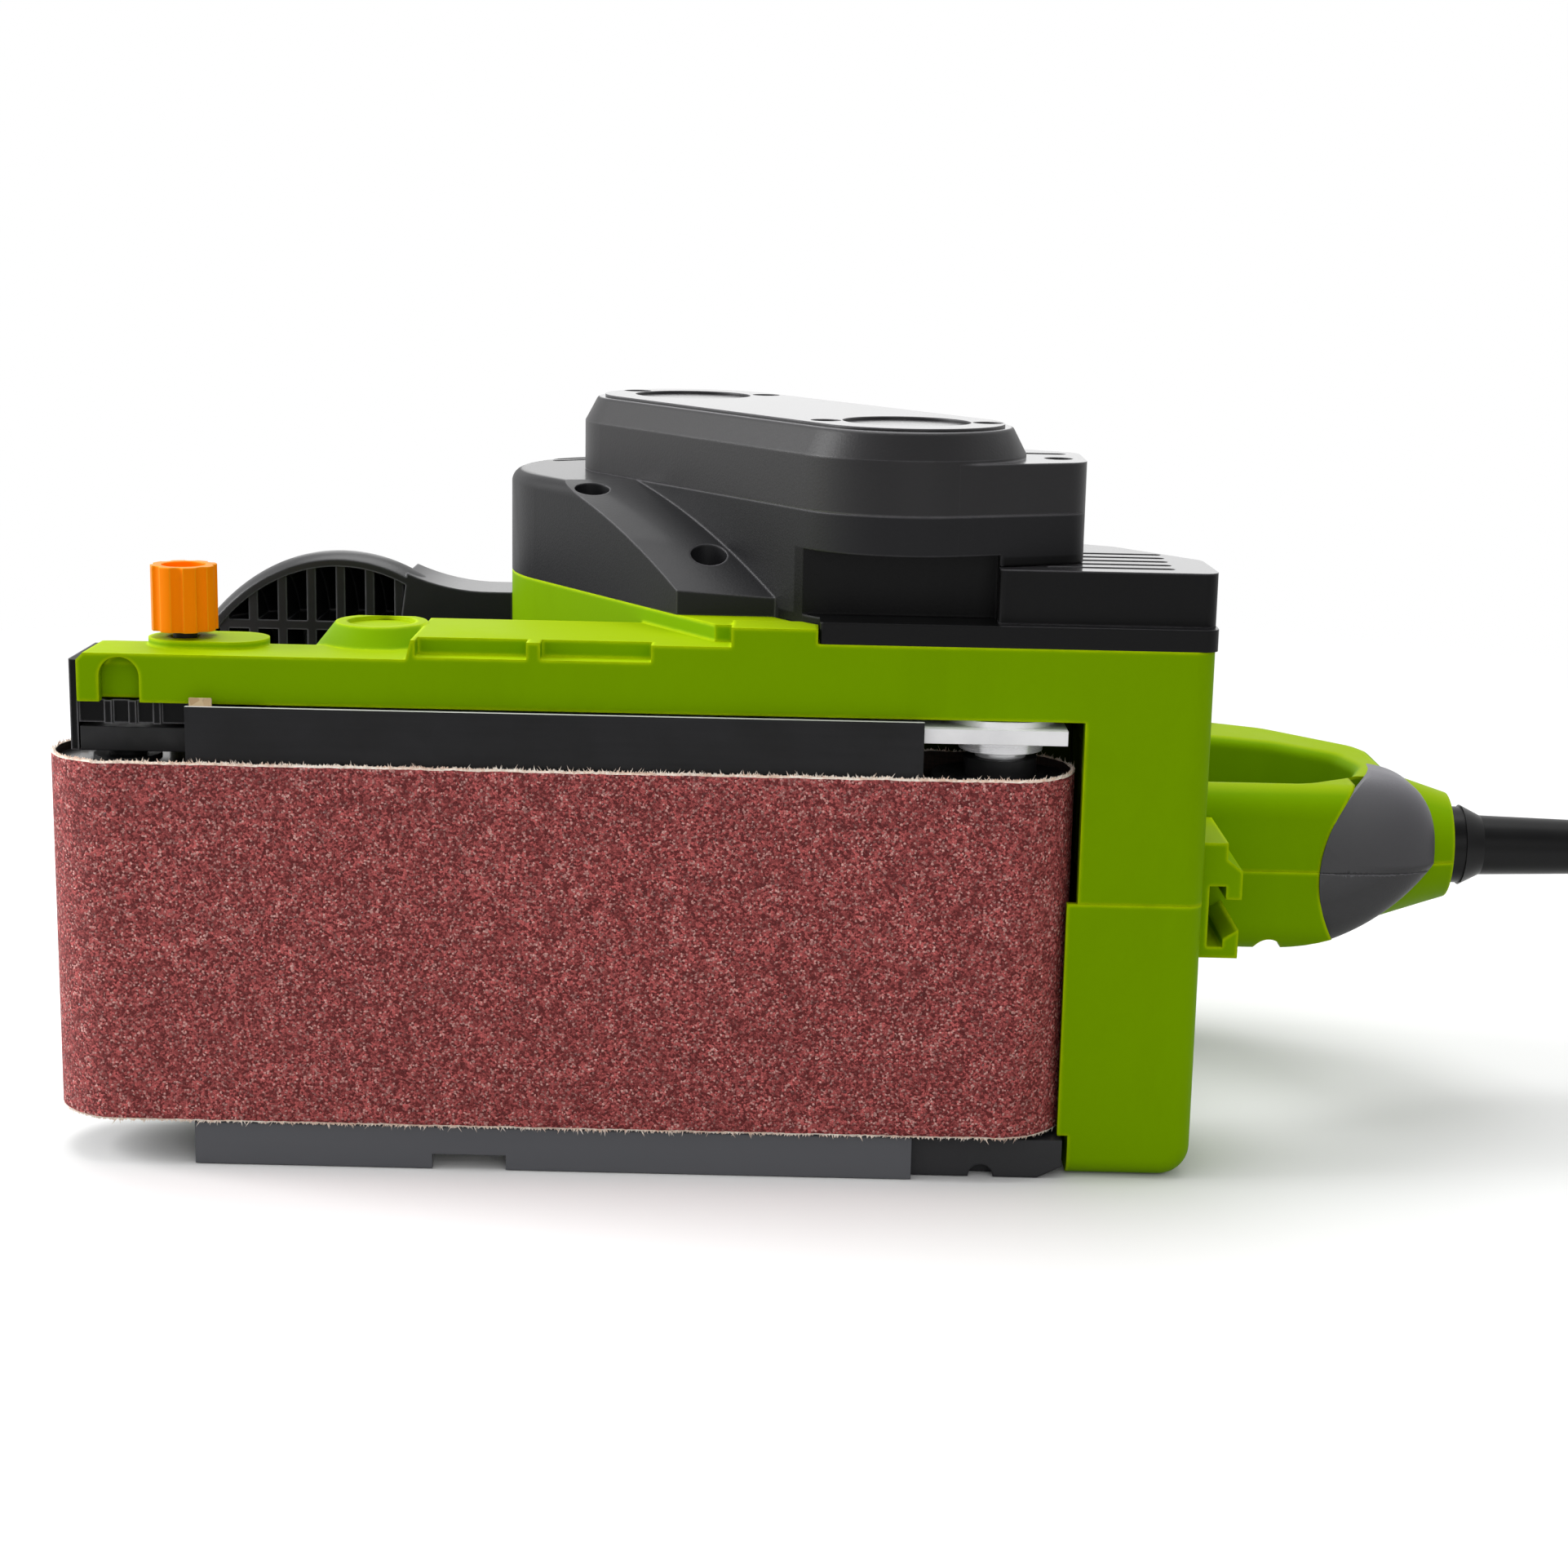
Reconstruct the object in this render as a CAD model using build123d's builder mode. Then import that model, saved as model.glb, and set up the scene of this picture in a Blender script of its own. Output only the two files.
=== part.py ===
from build123d import *
import math
import os

# Belt sander lying on its right side, as it is stored and shown.
# +X runs to the cord, +Y to the tool's top and +Z to the tool's left, which faces up.
# Below, s is the distance back from the belt's nose, h the height above the sanding face
# and z the height above the table. Millimetres.

os.makedirs("parts", exist_ok=True)

# Fits and walls
RUN = 0.05
SLIP = 0.02
GAP = 0.3
WALL = 2.6

# Overall
REACH = 360.0
NOSE_X = -REACH / 2

# Sanding belt, a standard 76 x 457 loop
BELT_WIDTH = 76.0
BELT_LOOP = 457.0
BELT_THICK = 1.0
BELT_GAP = 0.3
BELT_LOW = 9.6
ROLLER_R = 14.2
LOOP_IN = ROLLER_R + BELT_GAP
LOOP_OUT = LOOP_IN + BELT_THICK
SPAN = (BELT_LOOP - math.pi * (LOOP_IN + LOOP_OUT)) / 2
FRONT_S = LOOP_OUT
DRIVE_S = FRONT_S + SPAN
AXLE_H = LOOP_OUT
ROLLER_LOW = 11.0
ROLLER_HIGH = 84.0

# Platen under the belt
PLATEN_S = (30.7, 180.4)
PLATEN_Z = (0.0, 97.0)
PLATEN_H = BELT_THICK + 0.25
PLATEN_THICK = 1.2
PAD_THICK = 3.0
PAD_H = PLATEN_H + PLATEN_THICK
BEAM_H = PAD_H + PAD_THICK
BEAM_TOP_H = 25.5
BEAM_S = (46.0, 178.0)
BEAM_Z = (8.2, 92.5)
PLATE_THICK = 3.0
PLATE_TOP = BEAM_Z[1] + PLATE_THICK
SEAT_TOP = 96.8
SEAT_R = 11.2

# Housing
SKIRT_H = 5.0
DECK_H = 2 * LOOP_OUT + 2.0
DECK_TOP_H = DECK_H + 3.0
PARTING = 59.0
RAIL_LOW = 97.0
RAIL_TOP = 107.0
RAISED_TOP = 111.0
GEAR_Z = 112.0
STRIP_TOP = 116.5
CAP_LOW = 138.0
CAP_TOP = 154.7
WING_TOP = 148.5
POST_S = (213.2, 239.2)
RAIL_S = 8.0
RAIL_FALL_H = 21.0
EDGE_R = 4.0

# Motor axis, countershaft axis and the line between them
MOTOR_S = 128.5
MOTOR_H = 100.0
COUNTER_S = 176.0
COUNTER_H = 30.0
CENTRES = math.hypot(COUNTER_S - MOTOR_S, COUNTER_H - MOTOR_H)
COS_L = (COUNTER_S - MOTOR_S) / CENTRES
SIN_L = (COUNTER_H - MOTOR_H) / CENTRES
LEAN = math.degrees(math.atan2(SIN_L, COS_L))
BARREL_R = 42.0
WAIST_A = 58.0
WAIST_B = 31.5
LOBE_R = 25.0
SHELF_Z = 114.5

# The barrel's top is the tool's height, and the origin lies midway up
TALL = MOTOR_H + BARREL_R
FACE_Y = -TALL / 2

# Drive: toothed belt to the countershaft, second belt to the roller
MOTOR_PULLEY_R = 5.0
DRIVEN_PULLEY_R = 20.0
PINION_R = 4.6
ROLLER_PULLEY_R = 7.6
DRIVE_BELT_THICK = 1.2
FINAL_BELT_THICK = 0.9
DRIVE_BELT_GAP = 0.25

# Shafts and bearings
SHAFT_R = 5.0
SHAFT_END_R = 4.0
BEARING_R = 9.5
BEARING_WIDE = 4.0
MOTOR_BEARING_R = 11.0
ARM_R = 4.0
ARM_TIP_R = 3.0

# Handle
HANDLE_Z = (40.5, 77.5)
CORD_H = 62.0
CORD_Z = 60.5
CORD_R = 3.8
SLEEVE_R = 6.5


def side(z):
    return Plane(origin=(NOSE_X, FACE_Y, z), x_dir=(1, 0, 0), z_dir=(0, 0, 1))


def lower(h):
    return Plane(origin=(NOSE_X, FACE_Y + h, 0), x_dir=(1, 0, 0), z_dir=(0, -1, 0))


def across(s):
    return Plane(origin=(NOSE_X + s, FACE_Y, 0), x_dir=(0, 1, 0), z_dir=(1, 0, 0))


def oblique(z):
    return Plane(
        origin=(NOSE_X + MOTOR_S, FACE_Y + MOTOR_H, z), x_dir=(COS_L, SIN_L, 0), z_dir=(0, 0, 1)
    )


def flank(b):
    s, h = ob(0, b)
    return Plane(
        origin=(NOSE_X + s, FACE_Y + h, 0), x_dir=(COS_L, SIN_L, 0), z_dir=(SIN_L, -COS_L, 0)
    )


def ob(a, b):
    return (MOTOR_S + a * COS_L - b * SIN_L, MOTOR_H + a * SIN_L + b * COS_L)


def block(s, h, z, mode=Mode.ADD):
    with Locations((NOSE_X + sum(s) / 2, FACE_Y + sum(h) / 2, sum(z) / 2)):
        Box(s[1] - s[0], h[1] - h[0], z[1] - z[0], mode=mode)


def rod(at, r, z, mode=Mode.ADD):
    with Locations((NOSE_X + at[0], FACE_Y + at[1], sum(z) / 2)):
        Cylinder(r, z[1] - z[0], mode=mode)


def spindle(s, h, z, r, mode=Mode.ADD):
    with Locations(Location((NOSE_X + sum(s) / 2, FACE_Y + h, z), (0, 90, 0))):
        Cylinder(r, s[1] - s[0], mode=mode)


FRONT = (FRONT_S, AXLE_H)
DRIVE = (DRIVE_S, AXLE_H)
MOTOR = (MOTOR_S, MOTOR_H)
COUNTER = (COUNTER_S, COUNTER_H)

# Sanding belt
with BuildPart() as sanding_belt:
    with BuildSketch(side(BELT_LOW)):
        with Locations(((FRONT_S + DRIVE_S) / 2, AXLE_H)):
            SlotCenterToCenter(SPAN, 2 * LOOP_OUT)
            SlotCenterToCenter(SPAN, 2 * LOOP_IN, mode=Mode.SUBTRACT)
    extrude(amount=BELT_WIDTH)
sanding_belt.part.label = "sanding_belt"
export_step(sanding_belt.part, "parts/sanding_belt.step")

# Platen with the notch in its lower edge, its cork pad and their countersunk screws
PLATEN_SCREWS = [(60.0, 25.0), (60.0, 70.0), (160.0, 25.0), (160.0, 70.0)]
NOTCH_S = (80.3, 95.7)
NOTCH_Z = 3.1
CSK_R = 3.0
PLATEN_SCREW_R = 1.5

with BuildPart() as platen_screws:
    with BuildSketch(lower(PLATEN_H)):
        with Locations(*PLATEN_SCREWS):
            Circle(CSK_R)
    extrude(amount=-PLATEN_THICK, taper=math.degrees(math.atan((CSK_R - PLATEN_SCREW_R) / PLATEN_THICK)))
    with BuildSketch(lower(PAD_H)):
        with Locations(*PLATEN_SCREWS):
            Circle(PLATEN_SCREW_R)
    extrude(amount=-6.5)
platen_screws.part.label = "platen_screws"
export_step(platen_screws.part, "parts/platen_screws.step")

with BuildPart() as platen:
    block(PLATEN_S, (PLATEN_H, PAD_H), PLATEN_Z)
    block(NOTCH_S, (PLATEN_H - 1, PAD_H + 1), (-1, NOTCH_Z), mode=Mode.SUBTRACT)
    add(platen_screws.part, mode=Mode.SUBTRACT)
platen.part.label = "platen"
export_step(platen.part, "parts/platen.step")

with BuildPart() as platen_pad:
    block((34, 177), (PAD_H, BEAM_H), (8.6, 91))
    block((31.4, 36), (PAD_H, PAD_H + 0.5), (86, 98.6))
    with BuildSketch(lower(PAD_H)):
        with Locations(*PLATEN_SCREWS):
            Circle(PLATEN_SCREW_R + SLIP)
    extrude(amount=-PAD_THICK, mode=Mode.SUBTRACT)
platen_pad.part.label = "platen_pad"
export_step(platen_pad.part, "parts/platen_pad.step")

# Front yoke, axle and tension parts: one set of centres
MID_Z = BELT_LOW + BELT_WIDTH / 2
YOKE_ROD_R = 4.0
YOKE_BACK = 37.0
SPRING_BACK = 58.0
GUIDE_R = 10.0
LEVER_S = 60.0
LEVER_PIN_R = 3.0
CRANK_R = 7.1
CRANK_AT = math.radians(245)
CRANK_PIN_R = 1.5
TRACK = (27.0, 20.0)
TRACK_R = 2.5
FRAME_SCREWS = [(66.5, 29.0), (105.0, 29.0), (145.0, 29.0)]
FRAME_SCREW_R = 1.6

# Frame: side plate with two bearing seats, and a channel beam inside the belt's loop
with BuildPart() as frame:
    with BuildSketch(side(BEAM_Z[1])):
        with BuildLine():
            Polyline(
                (20, 12), (31, 12), (31, 3), (209.6, 3), (209.6, 44),
                (152, 44), (152, 32.5), (31, 32.5), (31, 28), (20, 28), close=True,
            )
        make_face()
    extrude(amount=PLATE_THICK)
    rod(DRIVE, SEAT_R, (BEAM_Z[1], SEAT_TOP))
    rod(COUNTER, SEAT_R, (BEAM_Z[1], SEAT_TOP))
    block(BEAM_S, (BEAM_H, BEAM_TOP_H), BEAM_Z)
    block((52, 172), (9.5, BEAM_TOP_H + 1), (12.2, 88.5), mode=Mode.SUBTRACT)
    spindle((BEAM_S[0], 74), AXLE_H, MID_Z, GUIDE_R)
    spindle((BEAM_S[0] - 1, 76), AXLE_H, MID_Z, YOKE_ROD_R + RUN, mode=Mode.SUBTRACT)
    spindle((BEAM_S[0] - 1, SPRING_BACK), AXLE_H, MID_Z, 7.4, mode=Mode.SUBTRACT)
    for centre in (DRIVE, COUNTER):
        rod(centre, BEARING_R + SLIP, (SEAT_TOP - BEARING_WIDE, SEAT_TOP + 1), mode=Mode.SUBTRACT)
        rod(centre, 7.6, (BEAM_Z[1] - 1, SEAT_TOP + 1), mode=Mode.SUBTRACT)
    rod(TRACK, TRACK_R + RUN, (BEAM_Z[1] - 1, PLATE_TOP + 1), mode=Mode.SUBTRACT)
    rod((LEVER_S, AXLE_H), LEVER_PIN_R + SLIP, (BEAM_Z[0] - 1, 20), mode=Mode.SUBTRACT)
    for at in FRAME_SCREWS:
        rod(at, FRAME_SCREW_R + SLIP, (BEAM_Z[1] - 1, PLATE_TOP + 1), mode=Mode.SUBTRACT)
    with BuildSketch(lower(BEAM_H)):
        with Locations(*PLATEN_SCREWS):
            Circle(PLATEN_SCREW_R + SLIP)
    extrude(amount=-8, mode=Mode.SUBTRACT)
frame.part.label = "frame"
export_step(frame.part, "parts/frame.step")

with BuildPart() as frame_screws:
    for at in FRAME_SCREWS:
        rod(at, FRAME_SCREW_R, (BEAM_Z[1], 103))
        rod(at, 3.0, (BEAM_Z[1] - 2.4, BEAM_Z[1]))
frame_screws.part.label = "frame_screws"
export_step(frame_screws.part, "parts/frame_screws.step")

# Bearing arm at the open end of the drive roller
with BuildPart() as drive_bracket:
    with BuildSketch(lower(27)):
        with BuildLine():
            Polyline((168, 0), (207, 0), (212, 2.4), (212, BEAM_Z[0]), (168, BEAM_Z[0]), close=True)
        make_face()
    extrude(amount=23)
    with BuildSketch(lower(7)):
        with Locations((195.1, 0)):
            Circle(2.6)
    extrude(amount=4, mode=Mode.SUBTRACT)
    rod(DRIVE, 8.0 + SLIP, (2, 9), mode=Mode.SUBTRACT)
drive_bracket.part.label = "drive_bracket"
export_step(drive_bracket.part, "parts/drive_bracket.step")

# Drive roller: shaft, core, rubber sleeve and pulley
SHOULDER_LOW = 9.0
HUB_TOP = 88.0
PULLEY_SEAT = 99.6
with BuildPart() as drive_shaft:
    rod(DRIVE, SHAFT_END_R, (2.2, SHOULDER_LOW))
    rod(DRIVE, SHAFT_R, (SHOULDER_LOW, PULLEY_SEAT))
    rod(DRIVE, 5.3, (HUB_TOP, 89.6))
    rod(DRIVE, 8.7, (89.6, 92.2))
    rod(DRIVE, 3.5, (PULLEY_SEAT, 110.6))
    chamfer(faces().sort_by(Axis.Z)[-1].edges(), 0.6)
drive_shaft.part.label = "drive_shaft"
export_step(drive_shaft.part, "parts/drive_shaft.step")

DRUM_R = 11.8
with BuildPart() as drive_drum:
    rod(DRIVE, DRUM_R, (ROLLER_LOW, ROLLER_HIGH))
    rod(DRIVE, 13.2, (ROLLER_LOW - 0.8, ROLLER_LOW))
    rod(DRIVE, 7.6, (ROLLER_HIGH, HUB_TOP))
    rod(DRIVE, SHAFT_R + SLIP, (ROLLER_LOW - 2, HUB_TOP + 1), mode=Mode.SUBTRACT)
drive_drum.part.label = "drive_drum"
export_step(drive_drum.part, "parts/drive_drum.step")

with BuildPart() as drum_rubber:
    rod(DRIVE, ROLLER_R, (ROLLER_LOW, ROLLER_HIGH))
    rod(DRIVE, DRUM_R + SLIP, (ROLLER_LOW - 1, ROLLER_HIGH + 1), mode=Mode.SUBTRACT)
drum_rubber.part.label = "drum_rubber"
export_step(drum_rubber.part, "parts/drum_rubber.step")

with BuildPart() as roller_pulley:
    rod(DRIVE, ROLLER_PULLEY_R, (PULLEY_SEAT, 109.8))
    rod(DRIVE, ROLLER_PULLEY_R + 0.7, (PULLEY_SEAT, 100.4))
    rod(DRIVE, 3.5 + SLIP, (PULLEY_SEAT - 1, 111), mode=Mode.SUBTRACT)
roller_pulley.part.label = "roller_pulley"
export_step(roller_pulley.part, "parts/roller_pulley.step")

with BuildPart() as drive_bearing_left:
    rod(DRIVE, BEARING_R, (SEAT_TOP - BEARING_WIDE, SEAT_TOP))
    rod(DRIVE, SHAFT_R + RUN, (92, 99), mode=Mode.SUBTRACT)
drive_bearing_left.part.label = "drive_bearing_left"
export_step(drive_bearing_left.part, "parts/drive_bearing_left.step")

with BuildPart() as drive_bearing_right:
    rod(DRIVE, 8.0, (2, 2 + BEARING_WIDE))
    rod(DRIVE, SHAFT_END_R + RUN, (1, 8), mode=Mode.SUBTRACT)
drive_bearing_right.part.label = "drive_bearing_right"
export_step(drive_bearing_right.part, "parts/drive_bearing_right.step")

# Front roller on its axle in the sliding yoke
ARM_LOW_Z = (7.4, 10.2)
ARM_HIGH_Z = (86.5, 91.5)
AXLE_R = 4.0
BUSH_R = 7.0
with BuildPart() as front_roller:
    rod(FRONT, ROLLER_R, (ROLLER_LOW, ROLLER_HIGH))
    rod(FRONT, AXLE_R + 1.0, (ROLLER_LOW - 1, ROLLER_HIGH + 1), mode=Mode.SUBTRACT)
    rod(FRONT, BUSH_R + SLIP, (ROLLER_LOW - 1, ROLLER_LOW + 10), mode=Mode.SUBTRACT)
    rod(FRONT, BUSH_R + SLIP, (ROLLER_HIGH - 10, ROLLER_HIGH + 1), mode=Mode.SUBTRACT)
front_roller.part.label = "front_roller"
export_step(front_roller.part, "parts/front_roller.step")

with BuildPart() as front_bushes:
    rod(FRONT, BUSH_R, (ROLLER_LOW - 0.6, ROLLER_LOW + 10))
    rod(FRONT, BUSH_R, (ROLLER_HIGH - 10, ROLLER_HIGH + 0.6))
    rod(FRONT, AXLE_R + RUN, (ROLLER_LOW - 2, ROLLER_HIGH + 2), mode=Mode.SUBTRACT)
front_bushes.part.label = "front_bushes"
export_step(front_bushes.part, "parts/front_bushes.step")

with BuildPart() as front_axle:
    rod(FRONT, AXLE_R, (ARM_LOW_Z[0], ARM_HIGH_Z[1]))
    rod(FRONT, 5.0, (ARM_LOW_Z[0] - 1, ARM_LOW_Z[0]))
front_axle.part.label = "front_axle"
export_step(front_axle.part, "parts/front_axle.step")

SLOT_LINK_Z = (4.0, 7.9)
CRANK_H = AXLE_H + CRANK_R * math.sin(CRANK_AT)
CRANK_S = LEVER_S + CRANK_R * math.cos(CRANK_AT)
with BuildPart() as front_yoke:
    for arm_z in (ARM_LOW_Z, ARM_HIGH_Z):
        block((8, YOKE_BACK), (7, 24), arm_z)
    block((32, YOKE_BACK), (8, 23), (SLOT_LINK_Z[0], ARM_HIGH_Z[1]))
    block((YOKE_BACK - 1, 63), (5.8, 11.6), SLOT_LINK_Z)
    spindle((YOKE_BACK - 1, 78), AXLE_H, MID_Z, YOKE_ROD_R)
    rod(FRONT, AXLE_R + SLIP, (0, 100), mode=Mode.SUBTRACT)
    with BuildSketch(side(SLOT_LINK_Z[0] - 1)):
        with Locations((CRANK_S, CRANK_H - 0.35)):
            SlotOverall(4.6, 2 * (CRANK_PIN_R + 0.1), rotation=90)
    extrude(amount=6, mode=Mode.SUBTRACT)
front_yoke.part.label = "front_yoke"
export_step(front_yoke.part, "parts/front_yoke.step")

# Spring round the yoke's rod
SPRING_WIRE_R = 0.7
SPRING_R = 5.6
SPRING_RUN = SPRING_BACK - YOKE_BACK - 2 * SPRING_WIRE_R
HALF_TURNS = 10
SPRING_STEP = SPRING_RUN / HALF_TURNS
SPRING_X = NOSE_X + YOKE_BACK + SPRING_WIRE_R
SPRING_Y = FACE_Y + AXLE_H
with BuildPart() as tension_spring:
    with BuildLine():
        for k in range(HALF_TURNS):
            way = 1 if k % 2 == 0 else -1
            here = (SPRING_X + k * SPRING_STEP, SPRING_Y, MID_Z - way * SPRING_R)
            middle_y = SPRING_Y + way * math.hypot(SPRING_R, SPRING_STEP / 2)
            middle = (SPRING_X + (k + 0.5) * SPRING_STEP, middle_y, MID_Z)
            there = (SPRING_X + (k + 1) * SPRING_STEP, SPRING_Y, MID_Z + way * SPRING_R)
            TangentArc(here, middle, tangent=(0, way, 0))
            TangentArc(middle, there, tangent=(SPRING_STEP / 2, 0, way * SPRING_R))
    with BuildSketch(Plane(origin=(SPRING_X, SPRING_Y, MID_Z - SPRING_R), z_dir=(0, 1, 0))):
        Circle(SPRING_WIRE_R)
    sweep()
tension_spring.part.label = "tension_spring"
export_step(tension_spring.part, "parts/tension_spring.step")

# Tension lever with its crank pin, on a pivot pin in the beam
LEVER_Z = (0.8, 3.6)
LEVER_ARM = 40.0
with BuildPart() as lever_pin:
    rod((LEVER_S, AXLE_H), LEVER_PIN_R, (LEVER_Z[0], 18))
    rod((LEVER_S, AXLE_H), 4.6, (0.1, LEVER_Z[0]))
lever_pin.part.label = "lever_pin"
export_step(lever_pin.part, "parts/lever_pin.step")

with BuildPart() as tension_lever:
    with BuildSketch(side(LEVER_Z[0])):
        with Locations((LEVER_S, AXLE_H)):
            Circle(6.4)
        with Locations((CRANK_S, CRANK_H)):
            Circle(3.6)
        with BuildLine():
            Polyline(
                (LEVER_S, AXLE_H - 6.4),
                (LEVER_S + LEVER_ARM, AXLE_H - 4),
                (LEVER_S + LEVER_ARM, AXLE_H + 4),
                (LEVER_S, AXLE_H + 6.4),
                close=True,
            )
        make_face()
        with Locations((LEVER_S + LEVER_ARM, AXLE_H)):
            Circle(4.0)
        with Locations((LEVER_S, AXLE_H)):
            Circle(LEVER_PIN_R + RUN, mode=Mode.SUBTRACT)
    extrude(amount=LEVER_Z[1] - LEVER_Z[0])
    rod((CRANK_S, CRANK_H), CRANK_PIN_R, (LEVER_Z[0], 7.4))
tension_lever.part.label = "tension_lever"
export_step(tension_lever.part, "parts/tension_lever.step")

# Ribbed guard over the front roller's end
GUARD_TOP = RAIL_LOW
with BuildPart() as front_guard:
    block((6, 30), (8, 30), (95.8, GUARD_TOP))
    block((6, 30), (8, 10.5), (92.2, GUARD_TOP))
    block((6, 7.6), (7, 28), (86.5, GUARD_TOP))
    block((6, RAIL_S), (7, 28), (GUARD_TOP, RAIL_TOP - 1.6))
    for rib_s in (13, 18, 23):
        block((rib_s, rib_s + 1.6), (6.8, 8), (92.2, GUARD_TOP))
    rod(TRACK, 4.0, (90, 99), mode=Mode.SUBTRACT)
front_guard.part.label = "front_guard"
export_step(front_guard.part, "parts/front_guard.step")

# Tracking knob with eight flutes on its screw
KNOB_LOW = 110.0
KNOB_TOP = 123.5
KNOB_R = 6.8
with BuildPart() as tracking_screw:
    rod(TRACK, TRACK_R, (91.8, 119))
tracking_screw.part.label = "tracking_screw"
export_step(tracking_screw.part, "parts/tracking_screw.step")

with BuildPart() as tracking_knob:
    with BuildSketch(side(KNOB_LOW)):
        with Locations(TRACK):
            Circle(KNOB_R)
            with PolarLocations(KNOB_R + 0.9, 8):
                Circle(1.7, mode=Mode.SUBTRACT)
    extrude(amount=KNOB_TOP - KNOB_LOW)
    rod(TRACK, 4.6, (KNOB_TOP - 1.2, KNOB_TOP + 1), mode=Mode.SUBTRACT)
    rod(TRACK, TRACK_R + SLIP, (KNOB_LOW - 1, 119), mode=Mode.SUBTRACT)
tracking_knob.part.label = "tracking_knob"
export_step(tracking_knob.part, "parts/tracking_knob.step")

# Outline of the motor barrel and rear body, seen from the side
FLOOR_A = (DECK_H - MOTOR_H + BARREL_R * COS_L) / SIN_L
REAR = (220.0, 54.0)
WAIST = ob(WAIST_A, WAIST_B)
WAIST_REACH = math.hypot(WAIST[0] - MOTOR_S, WAIST[1] - MOTOR_H)
WAIST_TURN = math.atan2(WAIST[1] - MOTOR_H, WAIST[0] - MOTOR_S) + math.acos(BARREL_R / WAIST_REACH)
FLANK_TURN = math.atan2(-COS_L, SIN_L) + 2 * math.pi


def on_barrel(turn):
    return (MOTOR_S + BARREL_R * math.cos(turn), MOTOR_H + BARREL_R * math.sin(turn))


def on_flank(h):
    return ob((h - MOTOR_H + BARREL_R * COS_L) / SIN_L, -BARREL_R)


with BuildSketch(side(0)) as barrel_outline:
    with BuildLine():
        Polyline(
            on_barrel(FLANK_TURN), ob(FLOOR_A, -BARREL_R), (POST_S[1], DECK_H), REAR, WAIST,
            on_barrel(WAIST_TURN),
        )
        ThreePointArc(
            on_barrel(WAIST_TURN), on_barrel((WAIST_TURN + FLANK_TURN) / 2), on_barrel(FLANK_TURN)
        )
    make_face()
    fillet(vertices().sort_by_distance((REAR[0], REAR[1], 0))[0], 8)
    fillet(vertices().sort_by_distance((WAIST[0], WAIST[1], 0))[0], 15)
with BuildSketch(side(0)) as barrel_inside:
    add(barrel_outline.sketch_local)
    offset(amount=-WALL, mode=Mode.REPLACE)

# Foot of the gear housing's block, and the shelf on the left shell that carries it
FOOT_H = 24.6
SHELF_FRONT_H = 12.0
STRIP_S = 158.8
with BuildSketch(side(0)) as block_outline:
    add(barrel_outline.sketch_local)
    with Locations(Location((MOTOR_S, MOTOR_H), LEAN)):
        with Locations((WAIST_A - GAP + 80, 0)):
            Rectangle(160, 160, mode=Mode.SUBTRACT)
    with BuildLine():
        Polyline(
            on_barrel(FLANK_TURN), on_flank(FOOT_H), (STRIP_S - GAP, FOOT_H), (STRIP_S - GAP, 60), ob(0, 0),
            close=True,
        )
    make_face()
with BuildSketch(side(0)) as shelf_outline:
    add(block_outline.sketch_local)
    with BuildLine():
        Polyline(
            on_flank(40), on_flank(SHELF_FRONT_H), (STRIP_S - GAP, SHELF_FRONT_H), (STRIP_S - GAP, 40),
            close=True,
        )
    make_face()
    with Locations(Location(ob(CENTRES / 2, 0), LEAN)):
        SlotCenterToCenter(CENTRES, 2 * (LOBE_R + GAP), mode=Mode.SUBTRACT)

# Handle ring, its two halves and the soft pads let into them
RING = [
    (200, 37.5),
    (281, 37.5),
    (295, 48),
    (294, 74),
    (289, 92),
    (270, 114),
    (240, 130),
    (170, 140),
    (140, 105),
]
RING_RADII = [9, 14, 10, 20, 16, 16, 16, 10, 9]
HOLE = [
    (242, 46),
    (266, 46),
    (277, 54),
    (281, 66),
    (278, 79),
    (266, 91),
    (250, 98),
    (222, 102),
    (200, 86),
    (205, 62),
]
HOLE_RADII = [5, 8, 9, 10, 9, 10, 10, 10, 9, 8]
SOFT = 6.5
RIM = 2.5
TAIL_S = 275.0
TAIL_Z = 60.5
TAIL_R = 20.3
SWEEP_S = 255.7
SWEEP_Z = 86.2
SWEEP_R = 45.6
PAD_SKIN = 3.5
PAD_SEAM = (297.6, 58.0)
PAD_SEAM_R = 28.7
PAD_BACK_H = 53.0
BOSS_ROOT_R = 17.0
BOSS_R = 11.8
BOSS_S = 301.0
with BuildSketch(side(0)) as ring_outer:
    with BuildLine():
        FilletPolyline(*RING, radius=RING_RADII, close=True)
    make_face()
with BuildSketch(side(0)) as ring_hole:
    with BuildLine():
        FilletPolyline(*HOLE, radius=HOLE_RADII, close=True)
    make_face()
with BuildSketch(side(0)) as ring_core:
    add(ring_outer.sketch_local)
    offset(amount=-PAD_SKIN, mode=Mode.REPLACE)


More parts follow.
